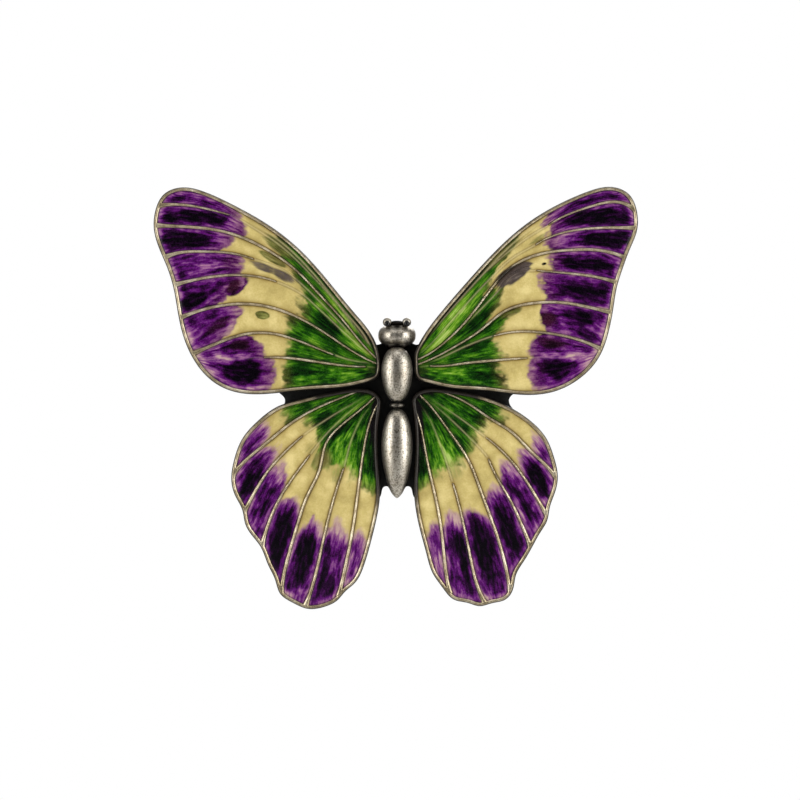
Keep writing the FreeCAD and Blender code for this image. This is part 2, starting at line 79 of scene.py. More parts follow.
LEFT_FOREWING = {
    **FOREWING,
    "root": (-2, 4),
    "lines": [
        [(-2.1, 2.6), (-6, 1.25), (-10, 0.95), (-14.5, 0.5), (-18, 0.55), (-20.8, 1.6), (-23.1, 3.9)],
        [(-2.1, 3.4), (-3.5, 3.6), (-7.5, 3.9), (-11.5, 4.5), (-15.3, 4.65), (-19, 4.5), (-23.3, 4.4)],
        [(-2.2, 3.9), (-5, 4.3), (-7.2, 4.95), (-11.5, 6.65), (-14.5, 7.45), (-17.5, 7.35), (-20.5, 6.4),
         (-23.6, 5.1)],
        [(-1.9, 3.8), (-5, 5.3), (-8, 7.3), (-12, 9.55), (-15.5, 10.65), (-19, 10.8), (-22.5, 10.15),
         (-25.1, 9.2)],
        [(-2, 4), (-5.5, 7), (-8.5, 9.8), (-11, 12), (-13.8, 13.35), (-16.5, 14.05), (-19.5, 14.15),
         (-23, 13.7), (-25.7, 13.05)],
        [(-2, 4.1), (-5.7, 7.8), (-8.7, 10.9), (-11.3, 13.4), (-13.5, 14.9), (-16.4, 15.95), (-19.5, 16.75),
         (-22.5, 16.9), (-25, 16.8), (-26.75, 16.25)],
        [(-1.9, 4.2), (-3.8, 6), (-6, 8.7), (-9, 12), (-11.6, 14.7), (-14, 16.5), (-17, 18.15), (-20, 19.2),
         (-24, 19.75), (-28, 19.95)],
        [(-2, 4.7), (-4.3, 7.5), (-7, 11), (-10, 14.3), (-13, 17.2), (-16, 19.3), (-19.2, 21.1),
         (-22, 21.85), (-24.6, 22.3), (-27.8, 22.2)],
        [(-2.1, 5.3), (-3, 7.45), (-5, 9.95), (-8, 13.6), (-11.5, 17.4), (-15, 20.1), (-18.5, 22.1),
         (-22, 23.75), (-25, 24.35)],
    ],
    "green": [(12.6, 13.2), (13.1, 12.6), (13.4, 11.9), (10.9, 10.8), (10.9, 11.3), (11.5, 12.6),
              (13.6, 14.4), (14.2, 13.6)],
    "purple": [(14.5, 14.5), (14.9, 17), (20, 18.1), (20.5, 17.7), (18.2, 17.9), (20.3, 18.8), (17.7, 17.6),
               (18, 18.4)],
    "dabs": {
        "light": [(-22.4, 15.5, 3, 0.8, 8, 0.45), (-21.3, 11.6, 2.6, 0.3, 35, 0.8),
                  (-22.3, 7.6, 2.3, 1.6, 30, 0.9), (-20.6, 5.2, 1.4, 0.5, -25, 0.7),
                  (-20.3, 2.6, 2, 0.5, -30, 0.5), (-17.5, 1.3, 3, 0.3, 2, 0.4),
                  (-19, 20, 0.9, 0.7, -10, 0.8), (-24, 12.2, 1.6, 0.3, 10, 0.6),
                  (-15.5, 9.55, 0.8, 0.4, -12, 0.4), (-20.5, 15.3, 3, 0.35, 4, 0.7),
                  (-22.6, 14.6, 2.4, 0.25, 12, 0.8), (-6.5, 10, 3.4, 0.35, 130, 0.9),
                  (-5, 6.8, 2.4, 0.4, 140, 0.8), (-4.2, 5.6, 2, 0.25, 152, 1)],
        "dark": [(-23.8, 11, 1.7, 0.9, 15, 0.9), (-18.7, 12.9, 1.1, 0.6, 40, 0.7),
                 (-20.4, 8.5, 2, 0.6, 33, 1), (-17.6, 3.2, 2.6, 1, 4, 1.2), (-18, 6.2, 1.3, 0.6, 10, 0.8),
                 (-24.2, 18.2, 2.6, 0.8, -6, 1), (-23, 20.9, 3.2, 0.7, -4, 0.9),
                 (-5.2, 8.9, 3.6, 0.3, 131, 1), (-3.2, 2.6, 1.6, 0.4, 160, 0.8),
                 (-8, 8.3, 1.9, 0.8, 145, 0.9), (-11, 3, 2.2, 0.4, 178, 0.7),
                 (-9.5, 15.2, 2.5, 0.3, 133, 0.9)],
        "warm": [(-18.7, 12.9, 1.2, 0.65, 40, 1), (-20.2, 8.6, 2, 0.7, 33, 0.7),
                 (-18, 6.1, 1.3, 0.7, 10, 0.8), (-18.8, 15.6, 1.3, 0.8, 0, 0.6)],
        "green": [(-15.5, 9.55, 0.8, 0.4, -12, 1.2)],
        "grey": [(-13.1, 14.1, 1.7, 0.55, -28, 0.85), (-15.4, 15.1, 2, 0.5, -22, 0.8)],
        "purple": [(-18.5, 12.9, 1.6, 0.8, 35, 1.3), (-18.9, 9.5, 1.6, 0.6, 28, 1.1),
                   (-17.4, 6.3, 1.1, 0.8, 20, 1.2)],
        # The black dab is painted shade at the root, beside the body.
        "black": [(-2.7, 3.2, 0.9, 0.5, 0, 0.8)],
        "olive": [(-14.3, 16, 1.9, 0.45, -28, 1.4), (-13.8, 17.6, 2.2, 0.8, -40, 0.8)],
    },
}

RIGHT_FOREWING = {
    **FOREWING,
    "root": (2, 4),
    "lines": [
        [(2.2, 2.35), (3.8, 1.65), (6, 1.15), (10, 0.85), (14.5, 0.35), (18, 0.7), (21, 2.2), (23.3, 4.7)],
        [(2.1, 3.5), (3.7, 3.7), (7.5, 3.95), (11.5, 4.35), (15, 4.6), (19, 4.7), (23.4, 5)],
        [(2, 3.6), (5, 4.6), (8, 6), (11, 7.1), (14, 7.65), (17.5, 7.45), (21, 6.7), (23.8, 5.5)],
        [(1.6, 3.6), (4, 4.5), (7, 6.1), (10, 8.1), (12.5, 10.05), (15.5, 10.9), (19, 11), (22, 10.5),
         (25, 9.8)],
        [(1.8, 3.9), (5, 6), (8, 8.6), (11, 11.6), (13.3, 14), (16, 14.7), (19.5, 14.4), (23, 13.95),
         (25.6, 13.25)],
        [(1.6, 4.2), (3.4, 4.9), (5.5, 6.4), (9, 10.1), (11.6, 13.5), (14, 15.6), (17, 16.7), (20.5, 17.1),
         (24, 16.95), (26.7, 16)],
        [(1.9, 4.6), (4, 6.3), (7, 9.7), (10, 13), (13, 15.9), (15.9, 17.6), (18, 18.7), (20.5, 19.35),
         (24, 19.65), (27.75, 19.65)],
        [(2, 5), (4.3, 7.9), (7.5, 11.6), (11, 15.3), (14.5, 18.1), (17.4, 19.9), (19, 20.85), (22, 22),
         (25.5, 22.65), (27.6, 21.7)],
        [(2.05, 5.3), (3, 7.1), (5, 9.8), (8, 13.3), (11.5, 17.1), (15, 20.15), (18.5, 22.3), (22, 23.85),
         (25, 24.4)],
    ],
    "green": [(12.4, 11.5), (12.2, 11.6), (11.5, 13.8), (10.6, 12.3), (12.2, 11.2), (10.8, 11),
              (11.6, 13.2), (14, 14)],
    "purple": [(16, 15.3), (15.3, 16), (17, 16.3), (17, 16.8), (17.8, 17.7), (17.5, 17.4), (17.6, 18),
               (17, 17.2)],
    "dabs": {
        "dark": [(24, 18.3, 3.4, 0.8, 0, 1.1), (22.3, 15.4, 3, 0.6, -3, 1.1), (23, 20.9, 3.4, 0.9, 4, 1),
                 (22.5, 23.1, 2.4, 0.5, 15, 0.6), (20.6, 9.3, 1.9, 0.8, -12, 1),
                 (17.4, 9.1, 1, 0.8, -20, 0.5), (18.3, 3.7, 1.6, 0.9, 10, 0.9),
                 (17.6, 6.2, 1.6, 0.5, -8, 0.6), (22.5, 12.3, 2.4, 0.5, -12, 0.6),
                 (5.2, 9.2, 4.2, 0.3, 50, 1), (3.6, 2.3, 1.8, 0.4, 20, 0.8), (9.5, 9, 2.1, 0.6, 48, 0.9),
                 (9, 6, 2, 0.6, 25, 1), (10.5, 2.5, 2.4, 0.5, 175, 0.9), (7.5, 11.8, 3.5, 0.25, 48, 0.7)],
        "light": [(18.9, 18.1, 1.1, 0.6, 15, 0.9), (19.6, 13.5, 1.4, 0.3, 0, 0.4),
                  (22.8, 8.2, 1.3, 1.2, -30, 0.7), (20.6, 5, 2.6, 0.9, -35, 0.9),
                  (17.2, 2.2, 1.2, 0.4, -20, 0.5), (23, 17.2, 3, 0.2, -3, 0.6),
                  (22.5, 10.4, 2.4, 0.3, -8, 0.7), (6.5, 8.8, 3.6, 0.5, 48, 0.9), (5, 6.6, 2.6, 0.3, 42, 1),
                  (7, 10.4, 3, 0.3, 50, 0.8), (6.5, 3, 3, 0.4, 175, 0.5), (11.8, 4.8, 0.9, 0.5, 20, 0.7)],
        "warm": [(17.4, 9.1, 1.2, 1, -20, 1), (17.6, 6.4, 1.9, 0.7, -8, 0.8)],
        "grey": [(13.35, 14.25, 2.3, 0.9, 33, 1.6)],
        # The first black dab is painted shade at the root, beside the body; the second is a small black fleck.
        "black": [(2.9, 3.1, 0.9, 0.5, 0, 0.8), (16.95, 15.45, 0.28, 0.15, 15, 1.5)],
        "olive": [(12.2, 16.6, 2.6, 0.5, 42, 0.9), (16.4, 18.4, 1.6, 0.35, 35, 0.6),
                  (13.2, 9.9, 1.3, 0.5, 25, 0.8)],
    },
}

LEFT_HINDWING = {
    **HINDWING,
    "root": (-2, 0.5),
    "lines": [
        [(-2.2, 1), (-4.5, 1.1), (-7, 0.75), (-9.5, 0.25), (-13.5, -0.85), (-16, -2.6), (-17.9, -4.8),
         (-18.8, -7.2)],
        [(-2.5, 1.1), (-3.5, 1.2), (-6.5, 0), (-9.5, -1.3), (-12.5, -3.1), (-15, -5.15), (-17.3, -7.05),
         (-19, -8.9)],
        [(-2.3, 0.9), (-5, -0.6), (-8, -2.4), (-10.8, -4.3), (-13, -6.3), (-15, -8.6), (-16.6, -11.2),
         (-17.75, -13.4)],
        [(-2.2, 0.8), (-5, -1.2), (-8, -4), (-10, -6.5), (-11.5, -8.5), (-13.2, -11), (-14.8, -14.4),
         (-15.6, -17.2)],
        [(-1.8, 1), (-6, -2.8), (-8.2, -5.3), (-8.9, -8.2), (-10.3, -11.2), (-11.6, -15), (-12.7, -18.8),
         (-13.4, -22.6)],
        [(-1.8, 0.5), (-4, -2.2), (-5.3, -5), (-6.1, -8), (-7.4, -12), (-8.5, -16.4), (-9.4, -20.4),
         (-10.6, -24.1)],
        [(-1.8, -0.1), (-2.8, -1.9), (-3.7, -5.2), (-4.4, -10), (-5, -14.5), (-5.8, -18.7), (-6.7, -22.9)],
        [(-1.85, -0.7), (-2.05, -2.2), (-2.2, -5), (-2.1, -8), (-1.95, -11.2), (-2.3, -13.7), (-3, -16.6),
         (-3.9, -19.6), (-4.9, -21.4)],
    ],
    "green": [(11.3, 11), (9.2, 8.8), (8.8, 8.9), (9, 10.8), (10.6, 10.2), (9.8, 10.4), (10.8, 11.5)],
    "purple": [(13.6, 14.2), (14.4, 14.2), (14.2, 14.6), (16.4, 15.8), (18.3, 16.8), (16, 17.2),
               (16.4, 17.6)],
    "dabs": {
        # The dark dab at x -2.9, height -6 is painted shade down the strip beside the abdomen.
        "dark": [(-17.2, -10.4, 2.2, 0.8, 55, 1), (-15.3, -12.8, 1.3, 0.6, 65, 1),
                 (-13.4, -16.5, 4.2, 0.8, 73, 1.1), (-10.6, -18, 3.6, 0.9, 78, 1.1),
                 (-8.6, -20.6, 1.8, 0.5, 78, 0.8), (-2.9, -6, 3, 0.5, 88, 1), (-6, -3.4, 2, 0.5, 45, 0.7),
                 (-8.7, -2.6, 1.6, 0.7, 30, 1), (-6.9, -3.9, 1.6, 0.3, 45, 0.9),
                 (-4.2, -3.4, 2, 0.25, 62, 0.8), (-13.5, -0.9, 1, 0.3, 20, 0.4)],
        "light": [(-14, -9.3, 1.4, 0.7, 60, 1), (-12, -17.5, 2.2, 0.3, 75, 0.6),
                  (-8.3, -14.9, 1.2, 0.8, 75, 1), (-6.9, -16.2, 1.8, 0.7, 78, 0.9),
                  (-5.2, -19.2, 2.2, 0.8, 72, 0.7), (-11.5, -22.4, 1.6, 0.5, 5, 0.6),
                  (-6, -2.2, 3, 0.25, 38, 0.8), (-5.8, -6.5, 2.2, 0.35, 70, 0.6),
                  (-17.8, -6.2, 1.4, 0.4, 50, 0.5)],
        "purple": [(-9.9, -14.6, 1.2, 0.35, 75, 0.9)],
        "warm": [(-7.8, -14.4, 1, 0.5, 70, 0.7)],
        # The black dabs are painted shade: down the strip beside the abdomen, at the root, and along the top
        # under the forewing's rim.
        "black": [(-2.5, -2.4, 3.6, 0.65, 84, 1.2), (-2.3, 0.4, 0.8, 0.6, 0, 1.2),
                  (-3.4, 0.8, 1.6, 0.5, 0, 0.9), (-6, 0.85, 2.4, 0.3, -6, 0.7)],
        "olive": [(-8.6, -7.2, 1.5, 1.1, 60, 1), (-6.8, -8.8, 1.2, 0.9, 70, 0.6),
                  (-9.8, -5.9, 0.9, 0.9, 50, 0.45)],
    },
}

RIGHT_HINDWING = {
    **HINDWING,
    "root": (2, 0.5),
    "lines": [
        [(2.2, 1), (4.5, 1.1), (7, 0.8), (9.3, 0.35), (11.2, -0.25), (13.2, -1.15), (15.5, -2.7),
         (17.2, -4.6), (18.1, -6.8)],
        [(2.6, 1.1), (3.6, 1.2), (5.8, 0.5), (8.3, -0.7), (10.8, -2.4), (13.2, -3.9), (15.3, -6),
         (17.6, -8.2), (18.5, -9.4)],
        [(2.3, 0.9), (5, -0.8), (7.5, -2.5), (10.2, -4.5), (12.3, -6.3), (14.1, -8.4), (16, -11.3),
         (17.5, -13.9)],
        [(2.2, 0.8), (5, -1.4), (8, -4.2), (10.5, -6.9), (11.5, -9.1), (12.8, -11.3), (14.4, -14.6),
         (15.5, -17.4)],
        [(1.7, 1.1), (4, -1.1), (6, -3.8), (8.2, -7.1), (9.7, -10.8), (11.2, -14.8), (12.4, -18.8),
         (13.1, -22.9)],
        [(1.8, 0.5), (3.8, -2.5), (5.2, -6), (6.4, -9.7), (7.6, -14.2), (8.4, -18), (9.4, -22),
         (10.3, -23.9)],
        [(1.6, -0.3), (2.7, -3.2), (3.4, -6.8), (4.3, -10.8), (5.1, -15), (5.5, -18.8), (6.1, -22.6)],
        [(1.75, -0.7), (1.95, -2.2), (2.1, -4.8), (2.05, -7.5), (1.95, -10.6), (2.15, -12.8), (2.7, -15.4),
         (3.4, -18), (4.1, -20.2), (5.2, -21.8)],
    ],
    "green": [(10.6, 10.3), (9, 8.6), (8.4, 8.6), (8.8, 9.8), (9.8, 9.6), (9.6, 9.8), (10.2, 11.2)],
    "purple": [(15, 15.4), (14.2, 15), (13.4, 13.2), (14.2, 14.2), (16.6, 14.6), (14.8, 15.4),
               (14.4, 17.4)],
    "dabs": {
        # The dark dab at x 2.7, height -6.5 is painted shade down the strip beside the abdomen.
        "dark": [(16.2, -9.3, 2.4, 0.9, -58, 1), (15, -13, 1.5, 0.6, -62, 1),
                 (12.6, -14.8, 3.2, 0.7, -70, 1), (9.7, -17, 4.2, 0.9, -75, 1.1),
                 (7.7, -18.5, 2.6, 0.6, -78, 0.9), (2.7, -6.5, 3, 0.5, -86, 1),
                 (3.5, -1.4, 1.4, 0.4, -50, 0.9), (9.6, -2.6, 1.2, 0.6, -30, 0.9),
                 (4.2, -4.6, 2.2, 0.3, -65, 0.8)],
        "light": [(13.4, -9, 1.8, 0.6, -55, 1), (11.4, -11, 1.4, 0.6, -65, 0.9),
                  (6.9, -14, 1.3, 0.7, -75, 1), (7.3, -22, 1.2, 0.6, -75, 0.8),
                  (4.7, -18.5, 2, 0.5, -78, 0.9), (5, -5.8, 2.6, 0.5, -60, 0.8),
                  (5.8, -6.6, 1.6, 0.3, -62, 0.7), (10, -22.6, 0.8, 0.7, -75, 0.6),
                  (14.2, -12.8, 1.8, 0.3, -65, 0.5)],
        # The black dabs are painted shade: down the strip beside the abdomen, at the root, and along the top
        # under the forewing's rim.
        "black": [(2.45, -2.6, 3.6, 0.65, -84, 1.2), (2.3, 0.4, 0.8, 0.6, 0, 1.2),
                  (3.4, 0.8, 1.6, 0.5, 0, 0.9), (6, 0.85, 2.4, 0.3, 6, 0.7)],
        "olive": [(6.6, -8.2, 1.4, 1, -60, 0.6), (7.4, -7.4, 1.1, 0.5, -55, 0.6)],
        "purple": [(12.4, -10.6, 1.2, 0.4, -62, 0.8)],
    },
}

WINGS = {
    "left_forewing": LEFT_FOREWING,
    "right_forewing": RIGHT_FOREWING,
    "left_hindwing": LEFT_HINDWING,
    "right_hindwing": RIGHT_HINDWING,
}


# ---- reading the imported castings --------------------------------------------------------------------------


def node_triangles(name):
    """A CAD node's points in millimetres, each once, and its triangles."""
    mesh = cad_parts[name].data
    mesh.calc_loop_triangles()
    points = np.empty(len(mesh.vertices) * 3)
    mesh.vertices.foreach_get("co", points)
    corners = np.empty(len(mesh.loop_triangles) * 3, dtype=np.int64)
    mesh.loop_triangles.foreach_get("vertices", corners)
    keys = np.round(points.reshape(-1, 3) / MM, 4)
    unique, index = np.unique(keys, axis=0, return_inverse=True)
    return unique, index.reshape(-1)[corners].reshape(-1, 3)


def edge_loops(name, facing):
    """The (x, z) edge loops of the node's faces that look along y times facing, largest first."""
    points, triangles = node_triangles(name)
    a, b, c = (points[triangles[:, k]] for k in range(3))
    normals = np.cross(b - a, c - a)
    size = np.linalg.norm(normals, axis=1)
    chosen = triangles[(normals[:, 1] * facing > 0.6 * size) & (size > 1e-9)]
    directed = {(int(t[k]), int(t[(k + 1) % 3])) for t in chosen for k in range(3)}
    following = {p: q for p, q in directed if (q, p) not in directed}
    loops = []
    while following:
        start, spot = following.popitem()
        chain = [start]
        while spot in following:
            chain.append(spot)
            spot = following.pop(spot)
        loops.append(points[chain][:, [0, 2]])
    return sorted(loops, key=lambda loop: -abs(loop_area(loop)))


def loop_area(loop):
    """The area inside a loop, positive if it runs anticlockwise."""
    x, z = loop[:, 0], loop[:, 1]
    return 0.5 * float(np.sum(x * np.roll(z, -1) - np.roll(x, -1) * z))


def dome_level(points):
    """How far each point's own ball stands behind the origin, level with the waist."""
    from_centre = points - (0.0, DOME_RADIUS, LIFT)
    return DOME_RADIUS - np.linalg.norm(from_centre, axis=1)


def on_dome(flat, level):
    """(x, z) points carried to the ball of a level, as (x, y, z)."""
    reach = (DOME_RADIUS - level) ** 2 - flat[:, 0] ** 2 - (flat[:, 1] - LIFT) ** 2
    return np.column_stack([flat[:, 0], DOME_RADIUS - np.sqrt(reach), flat[:, 1]])


def even_loop(loop, spacing, corner_degrees=28.0, smoothing=12):
    """The loop with evenly spaced points, smooth between its corners."""
    before = loop - np.roll(loop, 1, axis=0)
    after = np.roll(loop, -1, axis=0) - loop
    across = before[:, 0] * after[:, 1] - before[:, 1] * after[:, 0]
    turn = np.abs(np.arctan2(across, np.sum(before * after, axis=1)))
    corners = np.flatnonzero(turn > math.radians(corner_degrees))
    if len(corners) == 0:
        corners = np.array([0])
    out = []
    for start, end in zip(corners, np.roll(corners, -1)):
        count = (end - start) % len(loop) or len(loop)
        stretch = loop[(start + np.arange(count + 1)) % len(loop)]
        lengths = np.concatenate([[0], np.cumsum(np.linalg.norm(np.diff(stretch, axis=0), axis=1))])
        steps = max(1, round(lengths[-1] / spacing))
        marks = np.linspace(0, lengths[-1], steps + 1)
        even = np.column_stack([np.interp(marks, lengths, stretch[:, k]) for k in range(2)])
        for _ in range(smoothing):
            even[1:-1] = 0.5 * even[1:-1] + 0.25 * (even[:-2] + even[2:])
        out.append(even[:-1])
    return np.vstack(out)


class Outline:
    """Closed loops in the wing's plane, with the distance to them and whether a point is inside."""

    def __init__(self, loops):
        self.loops = loops
        self.starts = np.vstack(loops)
        self.ends = np.vstack([np.roll(loop, -1, axis=0) for loop in loops])
        self.befores = np.vstack([np.roll(loop, 1, axis=0) for loop in loops])
        self.tree = KDTree(len(self.starts))
        for i, (x, z) in enumerate(self.starts):
            self.tree.insert((x, z, 0.0), i)
        self.tree.balance()

    def distance(self, flat):
        nearest = np.array([self.tree.find((x, z, 0.0))[1] for x, z in flat])
        here = self.starts[nearest]
        ahead = to_segment(flat, here, self.ends[nearest])
        behind = to_segment(flat, here, self.befores[nearest])
        return np.minimum(ahead, behind)

    def inside(self, flat):
        """Whether each point is inside, counting the edges on its left, a few rows of points at a time."""
        odd = np.zeros(len(flat), dtype=bool)
        low = np.minimum(self.starts[:, 1], self.ends[:, 1])
        high = np.maximum(self.starts[:, 1], self.ends[:, 1])
        for rows in np.array_split(np.argsort(flat[:, 1]), len(flat) // 200 + 1):
            x, z = flat[rows, 0:1], flat[rows, 1:2]
            near = (low <= z.max()) & (high > z.min())
            x0, z0 = self.starts[near].T
            x1, z1 = self.ends[near].T
            crosses = (z0 > z) != (z1 > z)
            rise = np.where(z1 == z0, 1e-12, z1 - z0)
            left = x < x0 + (z - z0) * (x1 - x0) / rise
            odd[rows] = np.sum(crosses & left, axis=1) % 2 == 1
        return odd


def to_segment(points, start, end):
    """The distance from each point to a straight edge."""
    along = end - start
    share = np.sum((points - start) * along, axis=-1) / np.maximum(np.sum(along**2, axis=-1), 1e-12)
    foot = start + np.clip(share, 0.0, 1.0)[:, None] * along
    return np.linalg.norm(points - foot, axis=1)


def hex_grid(loop, spacing):
    """Points over a loop's box, in staggered rows."""
    low, high = loop.min(axis=0), loop.max(axis=0)
    rows = np.arange(low[1], high[1], spacing * math.sqrt(0.75))
    columns = np.arange(low[0], high[0], spacing)
    x, z = np.meshgrid(columns, rows)
    x = x + (np.arange(len(rows)) % 2)[:, None] * spacing / 2
    return np.column_stack([x.ravel(), z.ravel()])


def triangulate(outer, inner_loops, loose):
    """Points and triangles inside the outer loop, with the inner loops as creases."""
    flat = np.vstack([outer, *inner_loops, loose])
    creases, first = [], len(outer)
    for loop in inner_loops:
        count = len(loop)
        creases += [(first + i, first + (i + 1) % count) for i in range(count)]
        first += count
    found = delaunay_2d_cdt([Vector(p) for p in flat.tolist()], creases, [list(range(len(outer)))], 1, 1e-6)
    if len(found[0]) != len(flat):
        raise ValueError("two outline points fall on each other")
    return flat, np.array([face for face in found[2] if len(face) == 3])


def smooth_step(low, high, value):
    t = np.clip((value - low) / (high - low), 0.0, 1.0)
    return t * t * (3 - 2 * t)


# ---- pieces and materials ---------------------------------------------------------------------------------


@contextmanager
def edited(mesh):
    """The mesh opened for editing, and written back afterwards."""
    whole = bmesh.new()
    whole.from_mesh(mesh)
    yield whole
    whole.to_mesh(mesh)
    whole.free()


def place_object(name, data):
    """A new object in the scene."""
    made = bpy.data.objects.new(name, data)
    bpy.context.scene.collection.objects.link(made)
    return made


def make_piece(name, points, faces, material, attributes, sharp_degrees=38.0):
    """A closed mesh piece from points in millimetres."""
    mesh = bpy.data.meshes.new(name)
    mesh.from_pydata((points * MM).tolist(), [], faces)
    mesh.validate()
    with edited(mesh) as whole:
        bmesh.ops.recalc_face_normals(whole, faces=whole.faces)
    mesh.shade_smooth()
    mesh.set_sharp_from_angle(angle=math.radians(sharp_degrees))
    for key, values in attributes.items():
        layer = mesh.attributes.new(key, "FLOAT", "POINT")
        layer.data.foreach_set("value", np.asarray(values, dtype=np.float32))
    mesh.materials.append(material)
    return place_object(name, mesh)


def settle(piece, body, slot, *nodes):
    """The piece rides on a body and stands for CAD nodes, which are hidden. The slot is not used."""
    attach(piece, body)
    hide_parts(*nodes)
    return piece


class Nodes:
    """A material's node tree, with short ways to add and join nodes."""

    def __init__(self, name):
        self.material = bpy.data.materials.new(name)
        self.material.use_nodes = True
        self.tree = self.material.node_tree
        self.shader = self.tree.nodes["Principled BSDF"]

    def add(self, kind, **values):
        node = self.tree.nodes.new(kind)
        for key, value in values.items():
            setattr(node, key, value)
        return node

    def link(self, source, target):
        self.tree.links.new(source, target)

    def put(self, socket, value):
        """A constant goes on the socket, and a socket is linked to it."""
        if isinstance(value, bpy.types.NodeSocket):
            self.link(value, socket)
        else:
            socket.default_value = value

    def attribute(self, name):
        return self.add("ShaderNodeAttribute", attribute_name=name).outputs["Fac"]

    def place(self):
        return self.add("ShaderNodeTexCoord").outputs["Object"]

    def noise(self, scale, detail=3.0, roughness=0.6, vector=None):
        """Noise whose scale is per millimetre."""
        node = self.add("ShaderNodeTexNoise")
        self.link(vector or self.place(), node.inputs["Vector"])
        node.inputs["Scale"].default_value = scale / MM
        node.inputs["Detail"].default_value = detail
        node.inputs["Roughness"].default_value = roughness
        return node.outputs["Fac"]

    def maths(self, operation, a, b):
        node = self.add("ShaderNodeMath", operation=operation)
        self.put(node.inputs[0], a)
        self.put(node.inputs[1], b)
        return node.outputs[0]

    def total(self, *terms):
        """The sum of (value, weight) terms."""
        total, *rest = [self.maths("MULTIPLY", value, weight) for value, weight in terms]
        for part in rest:
            total = self.maths("ADD", total, part)
        return total

    def span(self, value, low, high, to_low=0.0, to_high=1.0):
        """The value carried smoothly from one range to another."""
        node = self.add("ShaderNodeMapRange", interpolation_type="SMOOTHSTEP")
        self.put(node.inputs["Value"], value)
        for key, number in (("From Min", low), ("From Max", high), ("To Min", to_low), ("To Max", to_high)):
            node.inputs[key].default_value = number
        return node.outputs["Result"]

    def ramp(self, value, stops):
        """A colour ramp from (position, sRGB 0-255 colour) stops."""
        node = self.add("ShaderNodeValToRGB")
        elements = node.color_ramp.elements
        while len(elements) < len(stops):
            elements.new(0.5)
        for element, (position, colour) in zip(elements, stops):
            element.position = position
            element.color = linear(colour)
        self.put(node.inputs["Fac"], value)
        return node.outputs["Color"]

    def mix(self, factor, a, b, blend="MIX"):
        node = self.add("ShaderNodeMix", data_type="RGBA", blend_type=blend)
        self.put(node.inputs["Factor"], factor)
        self.put(node.inputs[6], a)
        self.put(node.inputs[7], b)
        return node.outputs[2]

    def colour(self, value):
        self.link(value, self.shader.inputs["Base Color"])

    def rough(self, noise, low, high):
        """Roughness that follows a noise from low to high."""
        self.link(self.span(noise, 0.3, 0.7, low, high), self.shader.inputs["Roughness"])

    def bump(self, height, strength, distance):
        node = self.add("ShaderNodeBump")
        node.inputs["Strength"].default_value = strength
        node.inputs["Distance"].default_value = distance * MM
        self.link(height, node.inputs["Height"])
        self.link(node.outputs["Normal"], self.shader.inputs["Normal"])


def linear(colour):
    """An sRGB 0-255 colour as linear RGBA."""
    parts = [c / 255 for c in colour]
    return [c / 12.92 if c <= 0.04045 else ((c + 0.055) / 1.055) ** 2.4 for c in parts] + [1.0]


def enamel_material():
    """Vitreous enamel: cream, with green and purple laid over it in streaks that follow the veins."""
    n = Nodes("enamel")
    streak_place = n.add("ShaderNodeCombineXYZ")
    n.link(n.attribute("along"), streak_place.inputs[0])
    n.link(n.attribute("across"), streak_place.inputs[1])
    fine = n.noise(MM, 2.5, 0.55, streak_place.outputs[0])      # the streaks' place is in millimetres already
    speckle = n.noise(5.0, 3.0, 0.7)
    patch = n.noise(0.45, 3.0, 0.55)
    wobble = n.maths("SUBTRACT", fine, 0.5)
    grain = n.maths("SUBTRACT", speckle, 0.5)

    tone = n.total((n.attribute("tone"), 1.0), (wobble, 1.15), (grain, 0.14))
    purple = n.ramp(tone, [(0.0, (3, 0, 5)), (0.25, (36, 3, 42)), (0.5, (84, 18, 98)),
                           (0.75, (136, 84, 128)), (1.0, (178, 150, 142))])
    maroon = n.ramp(tone, [(0.0, (20, 3, 14)), (0.5, (54, 18, 40)), (1.0, (120, 82, 94))])
    green = n.ramp(tone, [(0.0, (3, 18, 3)), (0.28, (14, 52, 6)), (0.52, (50, 102, 14)),
                          (0.76, (108, 150, 40)), (1.0, (160, 182, 96))])
    olive = n.ramp(tone, [(0.0, (44, 44, 18)), (0.5, (104, 100, 52)), (1.0, (156, 148, 92))])
    cream = n.ramp(n.total((patch, 1.0), (grain, 0.3)),
                   [(0.3, (166, 149, 90)), (0.5, (186, 168, 106)), (0.7, (206, 189, 128))])
    grey = n.ramp(tone, [(0.0, (38, 32, 32)), (0.5, (82, 72, 68)), (1.0, (136, 126, 108))])

    purple = n.mix(n.attribute("warm"), purple, maroon)
    green = n.mix(n.attribute("olive"), green, olive)
    frayed = n.total((wobble, 0.7), (grain, 0.35))
    base = cream
    for key, low, high, over in (("green", 0.16, 0.72, green), ("purple", 0.12, 0.76, purple),
                                 ("grey", 0.15, 0.95, grey)):
        base = n.mix(n.span(n.maths("ADD", n.attribute(key), frayed), low, high), base, over)
    # The black is painted shade at the wings' roots, beside the abdomen and under the forewings' rims; the one
    # small spot on the right forewing is a black fleck.
    base = n.mix(n.attribute("black"), base, (0.004, 0.003, 0.004, 1.0))
    # Painted shade: the colour is multiplied towards brown beside the metal and along the veins.
    shade_near_metal = n.span(n.total((n.attribute("shade"), 1.0), (grain, 0.3)), 0.0, 1.0)
    base = n.mix(shade_near_metal, base, n.mix(1.0, base, linear((172, 152, 112)), "MULTIPLY"))
    base = n.mix(n.attribute("thread"), base, linear((178, 164, 124)))
    # A dark line where the enamel meets the metal, partly patina and partly painted shade, and the veins'
    # hairlines.
    base = n.mix(n.attribute("edge_shade_and_hairlines"), base, linear((34, 27, 18)))
    n.colour(base)
    n.rough(speckle, 0.2, 0.32)
    n.shader.inputs["Specular IOR Level"].default_value = 0.18
    n.bump(n.total((speckle, 0.5), (fine, 1.0)), 0.12, 0.02)
    return n.material


